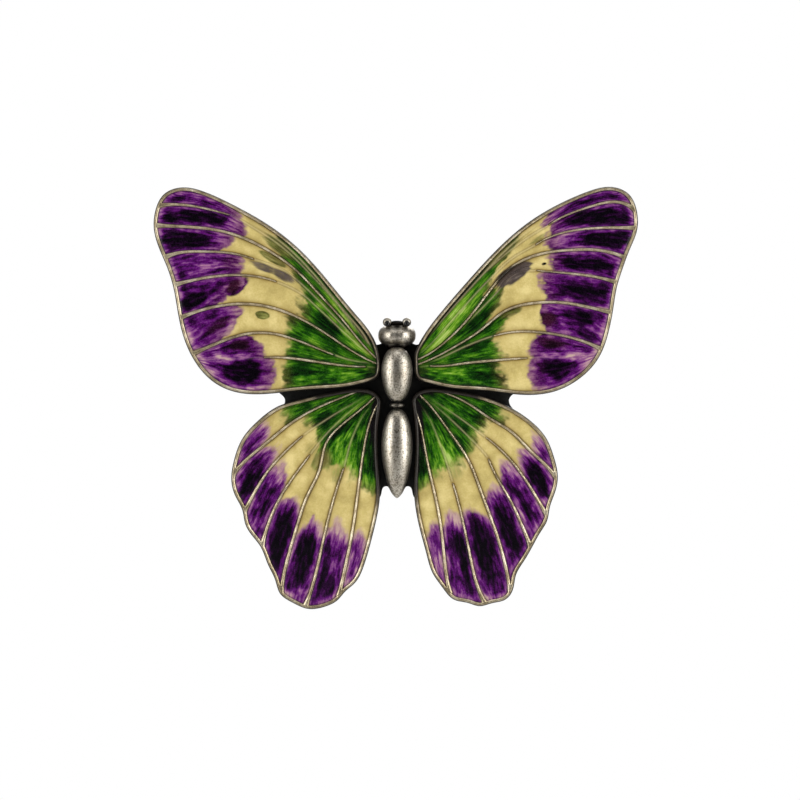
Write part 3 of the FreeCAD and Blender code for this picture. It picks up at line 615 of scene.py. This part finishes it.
def wing_metal_material():
    """Antique silver with a champagne cast on the rims, blackened beside the enamel and down the walls, partly
    by patina and partly by painted shade in the creases and over the rim's rounded edge.
    """
    n = Nodes("wing_metal")
    fine = n.noise(6.0, 4.0, 0.7)
    broad = n.noise(0.7, 3.0, 0.6)
    worn = n.total((n.attribute("depth"), 1.0), (n.maths("SUBTRACT", fine, 0.5), 0.7))
    bright = n.ramp(n.total((broad, 0.6), (fine, 0.4)),
                    [(0.36, (112, 99, 76)), (0.5, (160, 146, 118)), (0.64, (206, 195, 172))])
    dark = n.ramp(fine, [(0.3, (14, 11, 9)), (0.7, (44, 37, 30))])
    n.colour(n.mix(n.span(worn, 0.2, 0.75), bright, dark))
    n.link(n.span(worn, 0.2, 0.9, 0.9, 0.5), n.shader.inputs["Metallic"])
    n.rough(fine, 0.34, 0.5)
    n.bump(fine, 0.5, 0.02)
    return n.material


def cast_silver_material():
    """Satin antique silver, blackened in its hollows and in its fine pits; on the head the same mark also
    carries painted shade.
    """
    n = Nodes("cast_silver")
    pits = n.noise(5.5, 2.0, 0.55)
    fine = n.noise(12.0, 2.0, 0.5)
    broad = n.noise(0.6, 2.0, 0.5)
    grain = n.total((pits, 0.6), (fine, 0.4))
    bright = n.ramp(broad, [(0.3, (158, 150, 136)), (0.7, (190, 184, 172))])
    pitted = n.mix(n.span(grain, 0.33, 0.56), linear((72, 64, 52)), bright)
    hollow = n.total((n.attribute("hollow"), 1.0), (n.maths("SUBTRACT", grain, 0.5), 0.6))
    n.colour(n.mix(n.span(hollow, 0.15, 0.8), pitted, linear((20, 17, 14))))
    n.shader.inputs["Metallic"].default_value = 1.0
    n.rough(fine, 0.3, 0.44)
    n.bump(grain, 0.9, 0.04)
    return n.material


def plate_material():
    """Blackened plating in front, where it shows between the wings, and rubbed silver on the flat back."""
    n = Nodes("backplate")
    fine = n.noise(4.0, 4.0, 0.65)
    broad = n.noise(0.35, 3.0, 0.6)
    split = n.add("ShaderNodeSeparateXYZ")
    n.link(n.place(), split.inputs[0])
    back_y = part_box("backplate")[1].y
    rear = n.span(split.outputs[1], back_y - 0.9 * MM, back_y - 0.2 * MM)
    black = n.ramp(fine, [(0.3, (2, 2, 2)), (0.7, (14, 13, 11))])
    rubbed = n.ramp(n.total((broad, 0.7), (fine, 0.3)),
                    [(0.34, (104, 97, 88)), (0.5, (136, 129, 118)), (0.66, (166, 159, 148))])
    n.colour(n.mix(rear, black, rubbed))
    n.shader.inputs["Specular IOR Level"].default_value = 0.2
    n.link(n.maths("MULTIPLY", rear, 0.95), n.shader.inputs["Metallic"])
    n.rough(fine, 0.34, 0.55)
    n.bump(fine, 0.5, 0.03)
    return n.material


def finding_material(name, colour, roughness, brushed):
    """Plated or polished metal with fine lines, light tarnish and small scratches."""
    n = Nodes(name)
    stretch = n.add("ShaderNodeMapping")
    n.link(n.place(), stretch.inputs["Vector"])
    stretch.inputs["Scale"].default_value = brushed
    lines = n.noise(3.0, 3.0, 0.6, stretch.outputs[0])
    tarnish = n.noise(0.8, 3.0, 0.6)
    darker = [0.62 * c for c in colour]
    n.colour(n.ramp(tarnish, [(0.32, darker), (0.6, colour)]))
    n.shader.inputs["Metallic"].default_value = 1.0
    n.rough(lines, roughness - 0.07, roughness + 0.1)
    n.bump(lines, 0.3, 0.01)
    return n.material


def black_enamel_material():
    """The glossy black of the drops on the knobs."""
    n = Nodes("black_enamel")
    fine = n.noise(3.0, 2.0, 0.5)
    n.colour(n.ramp(fine, [(0.3, (4, 4, 4)), (0.7, (12, 11, 11))]))
    n.rough(fine, 0.12, 0.25)
    n.shader.inputs["Specular IOR Level"].default_value = 0.25
    n.bump(fine, 0.2, 0.01)
    return n.material


MATERIALS = {
    "enamel": enamel_material(),
    "wing_metal": wing_metal_material(),
    "cast_silver": cast_silver_material(),
    "backplate": plate_material(),
    "black_enamel": black_enamel_material(),
    "plated": finding_material("plated", (196, 190, 180), 0.26, (1.0, 1.0, 1.0)),
    "steel": finding_material("steel", (190, 192, 196), 0.2, (0.15, 2.0, 2.0)),
}


# ---- laying the enamel ------------------------------------------------------------------------------------


def smooth_line(points, steps=5):
    """A curve through the points, as the veins are drawn, in frame coordinates."""
    knots = np.array(points) + (0.0, LIFT)
    knots = np.vstack([2 * knots[0] - knots[1], knots, 2 * knots[-1] - knots[-2]])
    t = np.linspace(0.0, 1.0, steps, endpoint=False)[:, None]
    pieces = []
    for a, b, c, d in zip(knots[:-3], knots[1:-2], knots[2:-1], knots[3:]):
        turn = (c - a) * t + (2 * a - 5 * b + 4 * c - d) * t**2 + (3 * b - a - 3 * c + d) * t**3
        pieces.append(b + 0.5 * turn)
    return np.vstack(pieces + [knots[-2:-1]])


def side_of(line, flat):
    """Signed distance to a line of points, positive on its left as it leaves the root."""
    best = np.full(len(flat), 1e9)
    sign = np.ones(len(flat))
    for a, b in zip(line[:-1], line[1:]):
        distance = to_segment(flat, a, b)
        along = b - a
        cross = along[0] * (flat[:, 1] - a[1]) - along[1] * (flat[:, 0] - a[0])
        nearer = distance < best - 1e-9
        sign = np.where(nearer, np.sign(cross), sign)
        best = np.where(nearer, distance, best)
    return best * sign


def strips(wing, flat):
    """For each point its strip between two lines, how far across it and how far along the wing."""
    order = 1.0 if wing["root"][0] > 0 else -1.0
    first_up = wing["lines"][0][-1][1] < wing["lines"][-1][-1][1]
    turn = order * (1.0 if first_up else -1.0)
    distances = np.array([turn * side_of(smooth_line(line), flat) for line in wing["lines"]])
    strip = np.clip(np.sum(distances > 0, axis=0) - 1, 0, len(distances) - 2)
    here = np.arange(len(flat))
    past, ahead = np.abs(distances[strip, here]), np.abs(distances[strip + 1, here])
    share = past / np.maximum(past + ahead, 1e-6)
    if first_up:
        along = np.abs(flat[:, 0])
    else:
        root = np.array(wing["root"]) + (0.0, LIFT)
        along = np.linalg.norm(flat - root, axis=1)
    return strip, share, along, np.abs(distances).min(axis=0)


def curl(flat, scale, seed, detail=3):
    """Smooth noise between about -1 and 1 at (x, z) points."""
    spots = flat * scale
    return np.array([noise.fractal((x, z, seed), 0.9, 2.1, detail) for x, z in spots])


def paint(wing, flat, place, edge, margin):
    """The enamel's masks at (x, z) points, from the wing's strips and dabs."""
    strip, share, along, vein = place
    greens, purples = np.array(wing["green"]), np.array(wing["purple"])
    streaks = np.column_stack([0.3 * along, 1.3 * (strip + share)])
    sway = curl(streaks, 1.0, 3.7)
    fray = curl(streaks * (1.8, 3.2), 1.0, 9.1)
    mottle = curl(flat, 0.8, 5.3)
    green_end = greens[strip, 0] * (1 - share) + greens[strip, 1] * share
    purple_start = purples[strip, 0] * (1 - share) + purples[strip, 1] * share
    middle = 4 * share * (1 - share)
    purple_start = purple_start + wing["finger"] * (0.55 - middle)
    soft = wing["soft"]

    # How far the colours reach, with ragged edges.
    ragged = 0.7 * sway + 0.25 * fray + 0.7 * mottle
    green = 1.0 - smooth_step(green_end - 1.4, green_end + 1.2, along + ragged)
    past = along + 0.8 * ragged - purple_start
    purple = smooth_step(-soft, soft, past)

    # The purple is darkest in the middle of each cell, and paler where it begins and near the margin.
    deep = smooth_step(0.2, 2.6, past) * smooth_step(0.1, 0.8, vein) * smooth_step(0.2, 1.2, margin)
    rise = wing["halo"] * (1 - smooth_step(-soft, soft + 0.4, past))
    fading = (soft - 0.75) * 0.45 * smooth_step(-2.2, 0.6, along - green_end)
    rise = rise + 0.2 * np.exp(-(((margin - 0.75) / 0.35) ** 2))
    tone = np.where(purple > 0.02, 0.56 + rise - 0.31 * deep, 0.48 - 0.08 * soft + fading)
    tone = tone + 0.22 * sway + 0.14 * fray + 0.16 * mottle

    # The green ends in olive and the purple begins in maroon, and then come the dabs.
    masks = {key: np.zeros(len(flat)) for key in ("warm", "olive", "grey", "black")}
    masks["olive"] = smooth_step(-1.4, 0.9, along - green_end) * 0.85
    masks["warm"] = (0.9 - soft / 2) * (1 - smooth_step(0.0, 2.2, past))
    for kind, dabs in wing["dabs"].items():
        for *oval, strength in dabs:
            radius = oval_radius(flat, *oval) + 0.2 * sway + 0.12 * fray
            spread = strength * (1.0 - smooth_step(0.5, 1.35, radius))
            if kind in ("dark", "light"):
                tone += spread * (-0.34 if kind == "dark" else 0.34)
            elif kind == "green":
                green = np.maximum(green, spread)
            elif kind == "purple":
                purple = np.maximum(purple, spread)
            else:
                masks[kind] = np.maximum(masks[kind], np.clip(spread, 0.0, 1.0))
                if kind == "olive":
                    green = np.maximum(green, 0.8 * spread)
    masks.update(green=green, purple=purple, tone=np.clip(tone, 0.0, 1.0))

    # Painted shade beside the metal and along the veins, with some mottling, and what shows of the veins
    # underneath.
    shade_near_metal = 0.6 * np.exp(-edge / 0.4) + 0.2 * np.exp(-vein / 0.3) + 0.12 * mottle
    masks["shade"] = np.clip(shade_near_metal, 0.0, 1.0) * (1 - 0.8 * purple)
    thread, hairlines = veins_under_enamel(wing, strip, along, edge, vein, margin)
    bare = (1 - 0.85 * purple) * (1 - masks["grey"])
    masks["thread"] = thread * bare
    # The dark line where the enamel meets the metal is partly patina and partly painted shade in that crease;
    # the hairlines belong to the veins under the enamel.
    masks["edge_shade_and_hairlines"] = np.maximum((0.6 - 0.2 * soft) * np.exp(-((edge / 0.08) ** 2)), hairlines * bare)
    masks["along"] = along * 0.75
    masks["across"] = (strip + share) * 9.0
    return masks


def veins_under_enamel(wing, strip, along, edge, vein, margin):
    """Where a vein runs on under the enamel: a pale thread, and the hairlines on both sides of it."""
    clear = smooth_step(0.12, 0.3, edge) * smooth_step(1.0, 7.0, along)
    thread = 0.5 * clear * np.exp(-((vein / 0.08) ** 2))
    hairlines = 0.45 * clear * np.exp(-(((vein - 0.14) / 0.05) ** 2))
    if wing["double_edge"]:
        lead = (strip == strip.max()) * (1 - smooth_step(12.0, 18.0, along))
        thread = np.maximum(thread, 0.6 * lead * np.exp(-(((margin - 0.78) / 0.09) ** 2)))
        hairlines = np.maximum(hairlines, 0.7 * lead * np.exp(-(((margin - 0.98) / 0.07) ** 2)))
    return thread, hairlines


def oval_radius(flat, x, z, half_length, half_width, angle):
    """How far each point is from the centre of a tilted oval, 1 on its edge."""
    turn = math.radians(angle)
    offset = flat - (x, z + LIFT)
    lengthwise = (offset[:, 0] * math.cos(turn) + offset[:, 1] * math.sin(turn)) / half_length
    sideways = (offset[:, 1] * math.cos(turn) - offset[:, 0] * math.sin(turn)) / half_width
    return np.sqrt(lengthwise**2 + sideways**2)


# ---- wings ------------------------------------------------------------------------------------------------


def enamel_fill(name, wing, outer):
    """One enamel fill: sunk beside the metal, with walls and a floor. Gives back its edge loops."""
    loops = [even_loop(loop, EDGE_SPACING) for loop in edge_loops(name, -1)]
    border = Outline(loops)
    points, _ = node_triangles(name)
    levels = dome_level(points)
    surface, floor = levels.min(), levels.max() - 0.01
    flat, top = filled(border, GRAIN, 0.5 * GRAIN)
    edge, margin = border.distance(flat), outer.distance(flat)
    place = strips(wing, flat)
    _, _, along, vein = place
    masks = paint(wing, flat, place, edge, margin)
    groove = 0.07 * np.exp(-edge / 0.12) + 0.05 * np.exp(-np.minimum(edge, vein) / 0.45)
    ridge = 0.08 * np.exp(-((vein / 0.11) ** 2)) * smooth_step(0.1, 0.3, edge) * smooth_step(1.0, 7.0, along)
    ripple = RIPPLE * curl(flat, 0.7, 1.9)
    flat_back, back = filled(border, 1.6, 0.3)
    points = np.vstack([on_dome(flat, surface + 0.01 + groove - ridge + ripple), on_dome(flat_back, floor)])
    first = len(flat)
    faces = top.tolist() + (back[:, ::-1] + first).tolist() + loop_walls(loops, 0, first)
    masks = {key: np.concatenate([values, np.zeros(len(flat_back))]) for key, values in masks.items()}
    piece = make_piece("glaze_" + name, points, faces, MATERIALS["enamel"], masks)
    settle(piece, "brooch", "enamel_forewing" if "forewing" in name else "enamel_hindwing", name)
    return loops


def filled(border, spacing, clear):
    """Points and triangles inside an outline and outside its islands."""
    outer, *islands = border.loops
    grid = hex_grid(outer, spacing)
    grid = grid[border.inside(grid)]
    grid = grid[border.distance(grid) > clear]
    flat, triangles = triangulate(outer, islands, grid)
    if islands:
        triangles = triangles[border.inside(flat[triangles].mean(axis=1))]
    return flat, triangles


def loop_walls(loops, start, shift):
    """Faces between each loop's points, numbered from start on, and the same points shifted."""
    walls = []
    for loop in loops:
        count = len(loop)
        for i in range(count):
            a, b = start + i, start + (i + 1) % count
            walls.append((a, b, b + shift, a + shift))
        start += count
    return walls


def wing_outline(name):
    return even_loop(edge_loops(name + "_frame", -1)[0], EDGE_SPACING)


def frame_front(name, outer, cells):
    """The front of a frame, with rounded rim and veins and open pockets: points, faces and patina."""
    rim, veins = Outline([outer]), Outline(cells)
    grid = hex_grid(outer, METAL_GRAIN)
    grid = grid[rim.inside(grid)]
    grid = grid[~veins.inside(grid)]
    grid = grid[(veins.distance(grid) > 0.5 * METAL_GRAIN) & (rim.distance(grid) > 0.5 * METAL_GRAIN)]
    flat, faces = triangulate(outer, cells, grid)
    to_enamel, to_edge = veins.distance(flat), rim.distance(flat)
    beside = 1 - np.minimum(to_enamel / CROWN_REACH, 1.0)
    outside = 1 - np.minimum(to_edge / (1.1 * CROWN_REACH), 1.0)
    crown = VEIN_ROUND * beside**2 + RIM_ROUND * outside**2.4
    crest = dome_level(node_triangles(name + "_frame")[0]).min()
    top = on_dome(flat, crest + crown + RIPPLE * (1 + curl(flat, 1.3, 4.4)))

    floor = dome_level(node_triangles(name + "_enamel_1")[0]).max()
    first = len(outer)
    ring = on_dome(flat[first:first + sum(len(loop) for loop in cells)], floor)
    shift = len(flat) - first
    in_pocket = veins.inside(flat[faces].mean(axis=1))
    faces = faces[~in_pocket].tolist() + (faces[in_pocket] + shift).tolist() + loop_walls(cells, first, shift)
    darkening = np.concatenate([frame_patina_and_shade(name, flat, to_enamel, to_edge), np.ones(len(ring))])
    return np.vstack([top, ring]), faces, darkening


def frame_back(name, outer):
    """The back of a frame, with its shallow hollow: points, faces and patina."""
    hollow = even_loop(edge_loops(name + "_frame", 1)[1], BACK_SPACING)
    rim, pit = Outline([outer]), Outline([hollow])
    grid = hex_grid(outer, 1.3)
    grid = grid[rim.inside(grid)]
    grid = grid[(rim.distance(grid) > 0.4) & (pit.distance(grid) > 0.4)]
    flat, faces = triangulate(outer, [hollow], grid)
    level = dome_level(node_triangles(name + "_frame")[0]).max()
    in_hollow = pit.inside(flat[faces].mean(axis=1))
    sunk = np.unique(faces[in_hollow])
    below = np.zeros(len(flat), dtype=np.int64)
    below[sunk] = len(flat) + np.arange(len(sunk))
    points = np.vstack([on_dome(flat, level), on_dome(flat[sunk], level - HOLLOW_DEPTH)])
    edge = len(outer) + np.arange(len(hollow))
    after = np.roll(edge, -1)
    walls = np.column_stack([edge, after, below[after], below[edge]])
    faces = faces[~in_hollow][:, ::-1].tolist() + below[faces[in_hollow]][:, ::-1].tolist() + walls.tolist()
    return points, faces, np.where(np.arange(len(points)) < len(flat), 0.25, 0.6)


def wing_frame(name, cells):
    """The cast frame of a wing: its front, its back and the wall between them."""
    outer = wing_outline(name)
    front, faces, front_patina_and_shade = frame_front(name, outer, cells)
    back, back_faces, back_patina = frame_back(name, outer)
    shift = len(front)
    faces += [[i + shift for i in face] for face in back_faces]
    faces += loop_walls([outer], 0, shift)
    depth = np.concatenate([front_patina_and_shade, back_patina])
    points = np.vstack([front, back])
    piece = make_piece("casting_" + name, points, faces, MATERIALS["wing_metal"], {"depth": depth})
    drop_loose_points(piece)
    settle(piece, "brooch", "wing_metal", name + "_frame")


def frame_patina_and_shade(name, flat, to_enamel, to_edge):
    """How black the front of a frame is: along its edges and beside the enamel, partly patina and partly
    painted shade where the rim rounds away and where the metal meets the enamel; towards the root; and where
    grey enamel smears it.
    """
    wing = WINGS[name]
    crest, lining = wing["crest"], wing["lining"]
    # Painted shade in the crease beside the enamel, over the patina there.
    beside_line = 1 - np.minimum(to_enamel / 0.09, 1.0)
    # Painted shade over the rim's rounded outer edge, over the patina there.
    outside_line = 1 - np.minimum(to_edge / 0.3, 1.0)
    on_rim = 1 - smooth_step(0.4, 0.55, to_edge)
    spine = smooth_step(0.02, 0.16, strips(wing, flat)[3])
    polished = 1 - crest * np.exp(-(((to_edge - 0.26) / 0.08) ** 2))
    dark = np.maximum(outside_line**1.3, on_rim * polished * root_darkening(name, flat))
    dark = np.maximum(dark, lining * beside_line * np.maximum(spine, on_rim))
    for oval in wing["dabs"].get("grey", []):
        dark = np.maximum(dark, 0.7 * (1 - smooth_step(0.8, 1.1, oval_radius(flat, *oval[:-1]))))
    return dark


def root_darkening(name, flat):
    """How black the rim is: towards the body, and along a hindwing's top and inner edge near the body."""
    reach, height = np.abs(flat[:, 0]), flat[:, 1] - LIFT
    if "forewing" in name:
        return 1 - smooth_step(2.3, 4.2, reach)
    shoulder = smooth_step(-2.6, -1.0, height) * (1 - smooth_step(8.0, 11.5, reach))
    flank = (1 - smooth_step(2.6, 3.6, reach)) * smooth_step(-17.0, -9.0, height)
    return np.maximum(shoulder, 0.85 * flank)


def drop_loose_points(piece):
    """Removes points that no face uses."""
    with edited(piece.data) as whole:
        bmesh.ops.delete(whole, geom=[v for v in whole.verts if not v.link_faces], context="VERTS")


def make_wings():
    for name, wing in WINGS.items():
        outer = Outline([wing_outline(name)])
        fills = sorted(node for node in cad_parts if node.startswith(name + "_enamel_"))
        cells = [loop for node in fills for loop in enamel_fill(node, wing, outer)]
        wing_frame(name, cells)


# ---- body and fastening -----------------------------------------------------------------------------------


def copy_of(node, name, material):
    """A piece that starts as the CAD node's own mesh, with its points joined."""
    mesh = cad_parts[node].data.copy()
    mesh.name = name
    mesh.materials.clear()
    mesh.materials.append(material)
    with edited(mesh) as whole:
        bmesh.ops.remove_doubles(whole, verts=whole.verts, dist=0.002 * MM)
    return place_object(name, mesh)


def apply_modifiers(piece):
    """The piece keeps the shape its modifiers give it, and loses them."""
    view = bpy.context.evaluated_depsgraph_get()
    mesh = bpy.data.meshes.new_from_object(piece.evaluated_get(view))
    piece.modifiers.clear()
    piece.data = mesh


def cast_piece(node, slot, material, voxel=0.07, smoothing=6):
    """A casting with its joints and corners softened, as cast and tumbled metal has them."""
    piece = copy_of(node, "cast_" + node, material)
    cast_shape(piece, voxel, smoothing)
    add_hollows(piece.data)
    return settle(piece, "brooch", slot, node)


def cast_shape(piece, voxel, smoothing):
    """One even mesh over everything in the piece, smoothed."""
    remesh = piece.modifiers.new("remesh", "REMESH")
    remesh.mode = "VOXEL"
    remesh.voxel_size = voxel * MM
    soften = piece.modifiers.new("soften", "SMOOTH")
    soften.factor = 0.5
    soften.iterations = smoothing
    apply_modifiers(piece)
    piece.data.shade_smooth()


def make_head():
    """The head as cast: one broad face, its brow between the knobs and its neck, with painted shade on both.
    """
    low, high = (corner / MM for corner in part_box("head"))
    front, bottom, back, wide = low.y, low.z, high.y, high.x
    face = ((0, front + 2.46, bottom + 1.3), (wide, 2.5, 1.28))
    brow = ((0, front + 1.46, bottom + 2.5), (0.95, 0.7, 0.5))
    neck = ((0, front + 1.86, bottom + 0.2), (1.3, 0.9, 0.6))
    mesh = bpy.data.meshes.new("cast_head")
    with edited(mesh) as whole:
        for centre, half in (face, brow, neck):
            for vertex in bmesh.ops.create_icosphere(whole, subdivisions=4, radius=1.0)["verts"]:
                x, z = abs(vertex.co.x), abs(vertex.co.z)
                flat = math.hypot(x, z) or 1.0
                power = HEAD_SQUARENESS
                square = ((x / flat) ** power + (z / flat) ** power) ** (-1 / power)
                spot = Vector(centre) + vertex.co * Vector(half) * Vector((square, 1.0, square))
                vertex.co = Vector((spot.x, min(spot.y, back), spot.z)) * MM
    mesh.materials.append(MATERIALS["cast_silver"])
    piece = place_object("cast_head", mesh)
    cast_shape(piece, 0.06, 8)
    for vertex in piece.data.vertices:
        if vertex.co.y < (front + 1.26) * MM:
            vertex.co.y += 0.15 * MM * math.exp(-((vertex.co.x / MM / 0.45) ** 2))
    add_hollows(piece.data)

    # Painted shade: black on the neck below the face, dark on the brow between the knobs, and darker down the
    # middle of the face, which leaves the cheeks' two highlights.
    def darkening(x, z):
        on_neck = z < bottom + 0.2
        on_brow = 0.85 * (z > bottom + 2.4 and abs(x) < 0.85)
        return max(on_neck, on_brow, 0.4 * math.exp(-((x / 0.36) ** 2)))

    blacken(piece.data, darkening)
    settle(piece, "brooch", "antique_silver", "head")


def blacken(mesh, amount):
    """Raises the hollow mark, which blackens the metal, to at least an amount at (x, z)."""
    layer = mesh.attributes["hollow"]
    for vertex, value in zip(mesh.vertices, layer.data):
        value.value = max(value.value, amount(vertex.co.x / MM, vertex.co.z / MM))


def add_hollows(mesh, rounds=30):
    """Marks where the surface is hollow, by how far smoothing would lift it."""
    count = len(mesh.vertices)
    points, normals = np.empty(count * 3), np.empty(count * 3)
    mesh.vertices.foreach_get("co", points)
    mesh.vertex_normals.foreach_get("vector", normals)
    points, normals = points.reshape(-1, 3), normals.reshape(-1, 3)
    edges = np.empty(len(mesh.edges) * 2, dtype=np.int64)
    mesh.edges.foreach_get("vertices", edges)
    a, b = edges[0::2], edges[1::2]
    neighbours = np.bincount(np.concatenate([a, b]), minlength=count)[:, None]
    smoothed = points.copy()
    for _ in range(rounds):
        total = np.column_stack([np.bincount(a, smoothed[b, k], count) + np.bincount(b, smoothed[a, k], count)
                                 for k in range(3)])
        smoothed = 0.4 * smoothed + 0.6 * total / neighbours
    lift = np.sum((smoothed - points) * normals, axis=1) / MM
    layer = mesh.attributes.new("hollow", "FLOAT", "POINT")
    layer.data.foreach_set("value", np.clip(lift / 0.06 + 0.1, 0.0, 1.0).astype(np.float32))


def bevelled_piece(node, body, slot, material, width=0.06):
    """A turned or stamped piece with its edges broken."""
    piece = copy_of(node, "made_" + node, material)
    bevel = piece.modifiers.new("bevel", "BEVEL")
    bevel.width = width * MM
    bevel.segments = 2
    bevel.limit_method = "ANGLE"
    bevel.angle_limit = math.radians(35)
    bevel.use_clamp_overlap = True
    apply_modifiers(piece)
    piece.data.shade_smooth()
    piece.data.set_sharp_from_angle(angle=math.radians(50))
    return settle(piece, body, slot, node)


def make_body():
    make_head()
    for node in ("left_antenna_knob", "right_antenna_knob", "thorax", "abdomen"):
        cast_piece(node, "antique_silver", MATERIALS["cast_silver"], 0.05 if "knob" in node else 0.07)
    collar = cast_piece("waist_collar", "antique_silver", MATERIALS["cast_silver"], 0.04, 3)
    blacken(collar.data, lambda x, z: 0.55)
    for node in ("left_eye", "right_eye"):
        eye = copy_of(node, "drop_" + node, MATERIALS["black_enamel"])
        centre = sum((v.co for v in eye.data.vertices), Vector()) / len(eye.data.vertices)
        for vertex in eye.data.vertices:
            away = vertex.co - centre
            vertex.co = centre + away * Vector((1.42, 1.3, 1.6 if away.z < 0 else 1.42))
        eye.data.shade_smooth()
        settle(eye, "brooch", "black_enamel", node)


def make_fastening():
    bevelled_piece("backplate", "brooch", "dark_plate", MATERIALS["backplate"], 0.1)
    for node in ("hinge_bracket", "hinge_rivet", "catch_bracket"):
        bevelled_piece(node, "brooch", "plated_findings", MATERIALS["plated"], 0.07)
    bevelled_piece("pin_knuckle", "pin", "plated_findings", MATERIALS["plated"], 0.05)
    bevelled_piece("pin_stem", "pin", "steel_wire", MATERIALS["steel"], 0.03)
    bevelled_piece("catch_rotor", "catch", "plated_findings", MATERIALS["plated"], 0.05)


# ---- studio -----------------------------------------------------------------------------------------------

VIEW_WIDTH = 91.9           # millimetres across the frame
VIEW_CENTRE = (0.35, -0.23 + LIFT)
LENS, SENSOR = 240.0, 36.0


def make_camera():
    data = bpy.data.cameras.new("camera")
    data.lens = LENS
    data.sensor_width = SENSOR
    data.clip_start = 0.01
    data.clip_end = 20.0
    camera = place_object("camera", data)
    distance = VIEW_WIDTH * LENS / SENSOR
    camera.location = (VIEW_CENTRE[0] * MM, -(distance + 6.0) * MM, VIEW_CENTRE[1] * MM)
    camera.rotation_euler = (math.pi / 2, 0, 0)
    bpy.context.scene.camera = camera


def area_light(name, place, size, power):
    """A rectangle of light that looks at the brooch."""
    data = bpy.data.lights.new(name, "AREA")
    data.shape = "RECTANGLE"
    data.size, data.size_y = size
    data.energy = power
    light = place_object(name, data)
    light.location = place
    light.rotation_euler = (-Vector(place)).to_track_quat("-Z", "Y").to_euler()


def make_lights():
    """Two tall soft boxes at the sides, and a soft top and back."""
    area_light("left_box", (-0.34, -0.2, 0.04), (0.2, 0.42), 1.62)
    area_light("right_box", (0.34, -0.2, 0.04), (0.2, 0.42), 1.8)
    area_light("top_box", (0.0, -0.2, 0.5), (0.4, 0.3), 0.8)
    area_light("back_box", (0.1, 0.5, 0.3), (0.5, 0.4), 2.0)


def make_world():
    """White behind the object for the camera, and a grey room with a dark front for its light."""
    world = bpy.data.worlds.new("studio")
    bpy.context.scene.world = world
    world.use_nodes = True
    nodes, links = world.node_tree.nodes, world.node_tree.links
    nodes.clear()
    place = nodes.new("ShaderNodeTexCoord")
    split = nodes.new("ShaderNodeSeparateXYZ")
    links.new(place.outputs["Generated"], split.inputs[0])
    front = nodes.new("ShaderNodeMapRange")
    front.interpolation_type = "SMOOTHSTEP"
    links.new(split.outputs[1], front.inputs["Value"])
    for key, value in (("From Min", -0.97), ("From Max", -0.35), ("To Min", 0.06), ("To Max", 0.4)):
        front.inputs[key].default_value = value
    room = nodes.new("ShaderNodeBackground")
    links.new(front.outputs["Result"], room.inputs["Strength"])
    white = nodes.new("ShaderNodeBackground")
    white.inputs["Color"].default_value = (1.0, 1.0, 1.0, 1.0)
    white.inputs["Strength"].default_value = 1.0
    path = nodes.new("ShaderNodeLightPath")
    mix = nodes.new("ShaderNodeMixShader")
    links.new(path.outputs["Is Camera Ray"], mix.inputs[0])
    links.new(room.outputs[0], mix.inputs[1])
    links.new(white.outputs[0], mix.inputs[2])
    links.new(mix.outputs[0], nodes.new("ShaderNodeOutputWorld").inputs[0])
    bpy.context.scene.view_settings.view_transform = "Standard"


def make_floor():
    """A pale floor a hand's breadth below, out of the front view."""
    mesh = bpy.data.meshes.new("floor")
    with edited(mesh) as whole:
        bmesh.ops.create_circle(whole, cap_ends=True, segments=96, radius=2.0)
    n = Nodes("floor")
    speckle = n.noise(0.05, 3.0, 0.5)
    n.colour(n.ramp(speckle, [(0.3, (244, 244, 243)), (0.7, (247, 247, 246))]))
    n.shader.inputs["Roughness"].default_value = 0.8
    mesh.materials.append(n.material)
    floor = place_object("floor", mesh)
    floor.location = (0, 0, -0.3)


make_wings()
make_body()
make_fastening()
make_camera()
make_lights()
make_world()
make_floor()
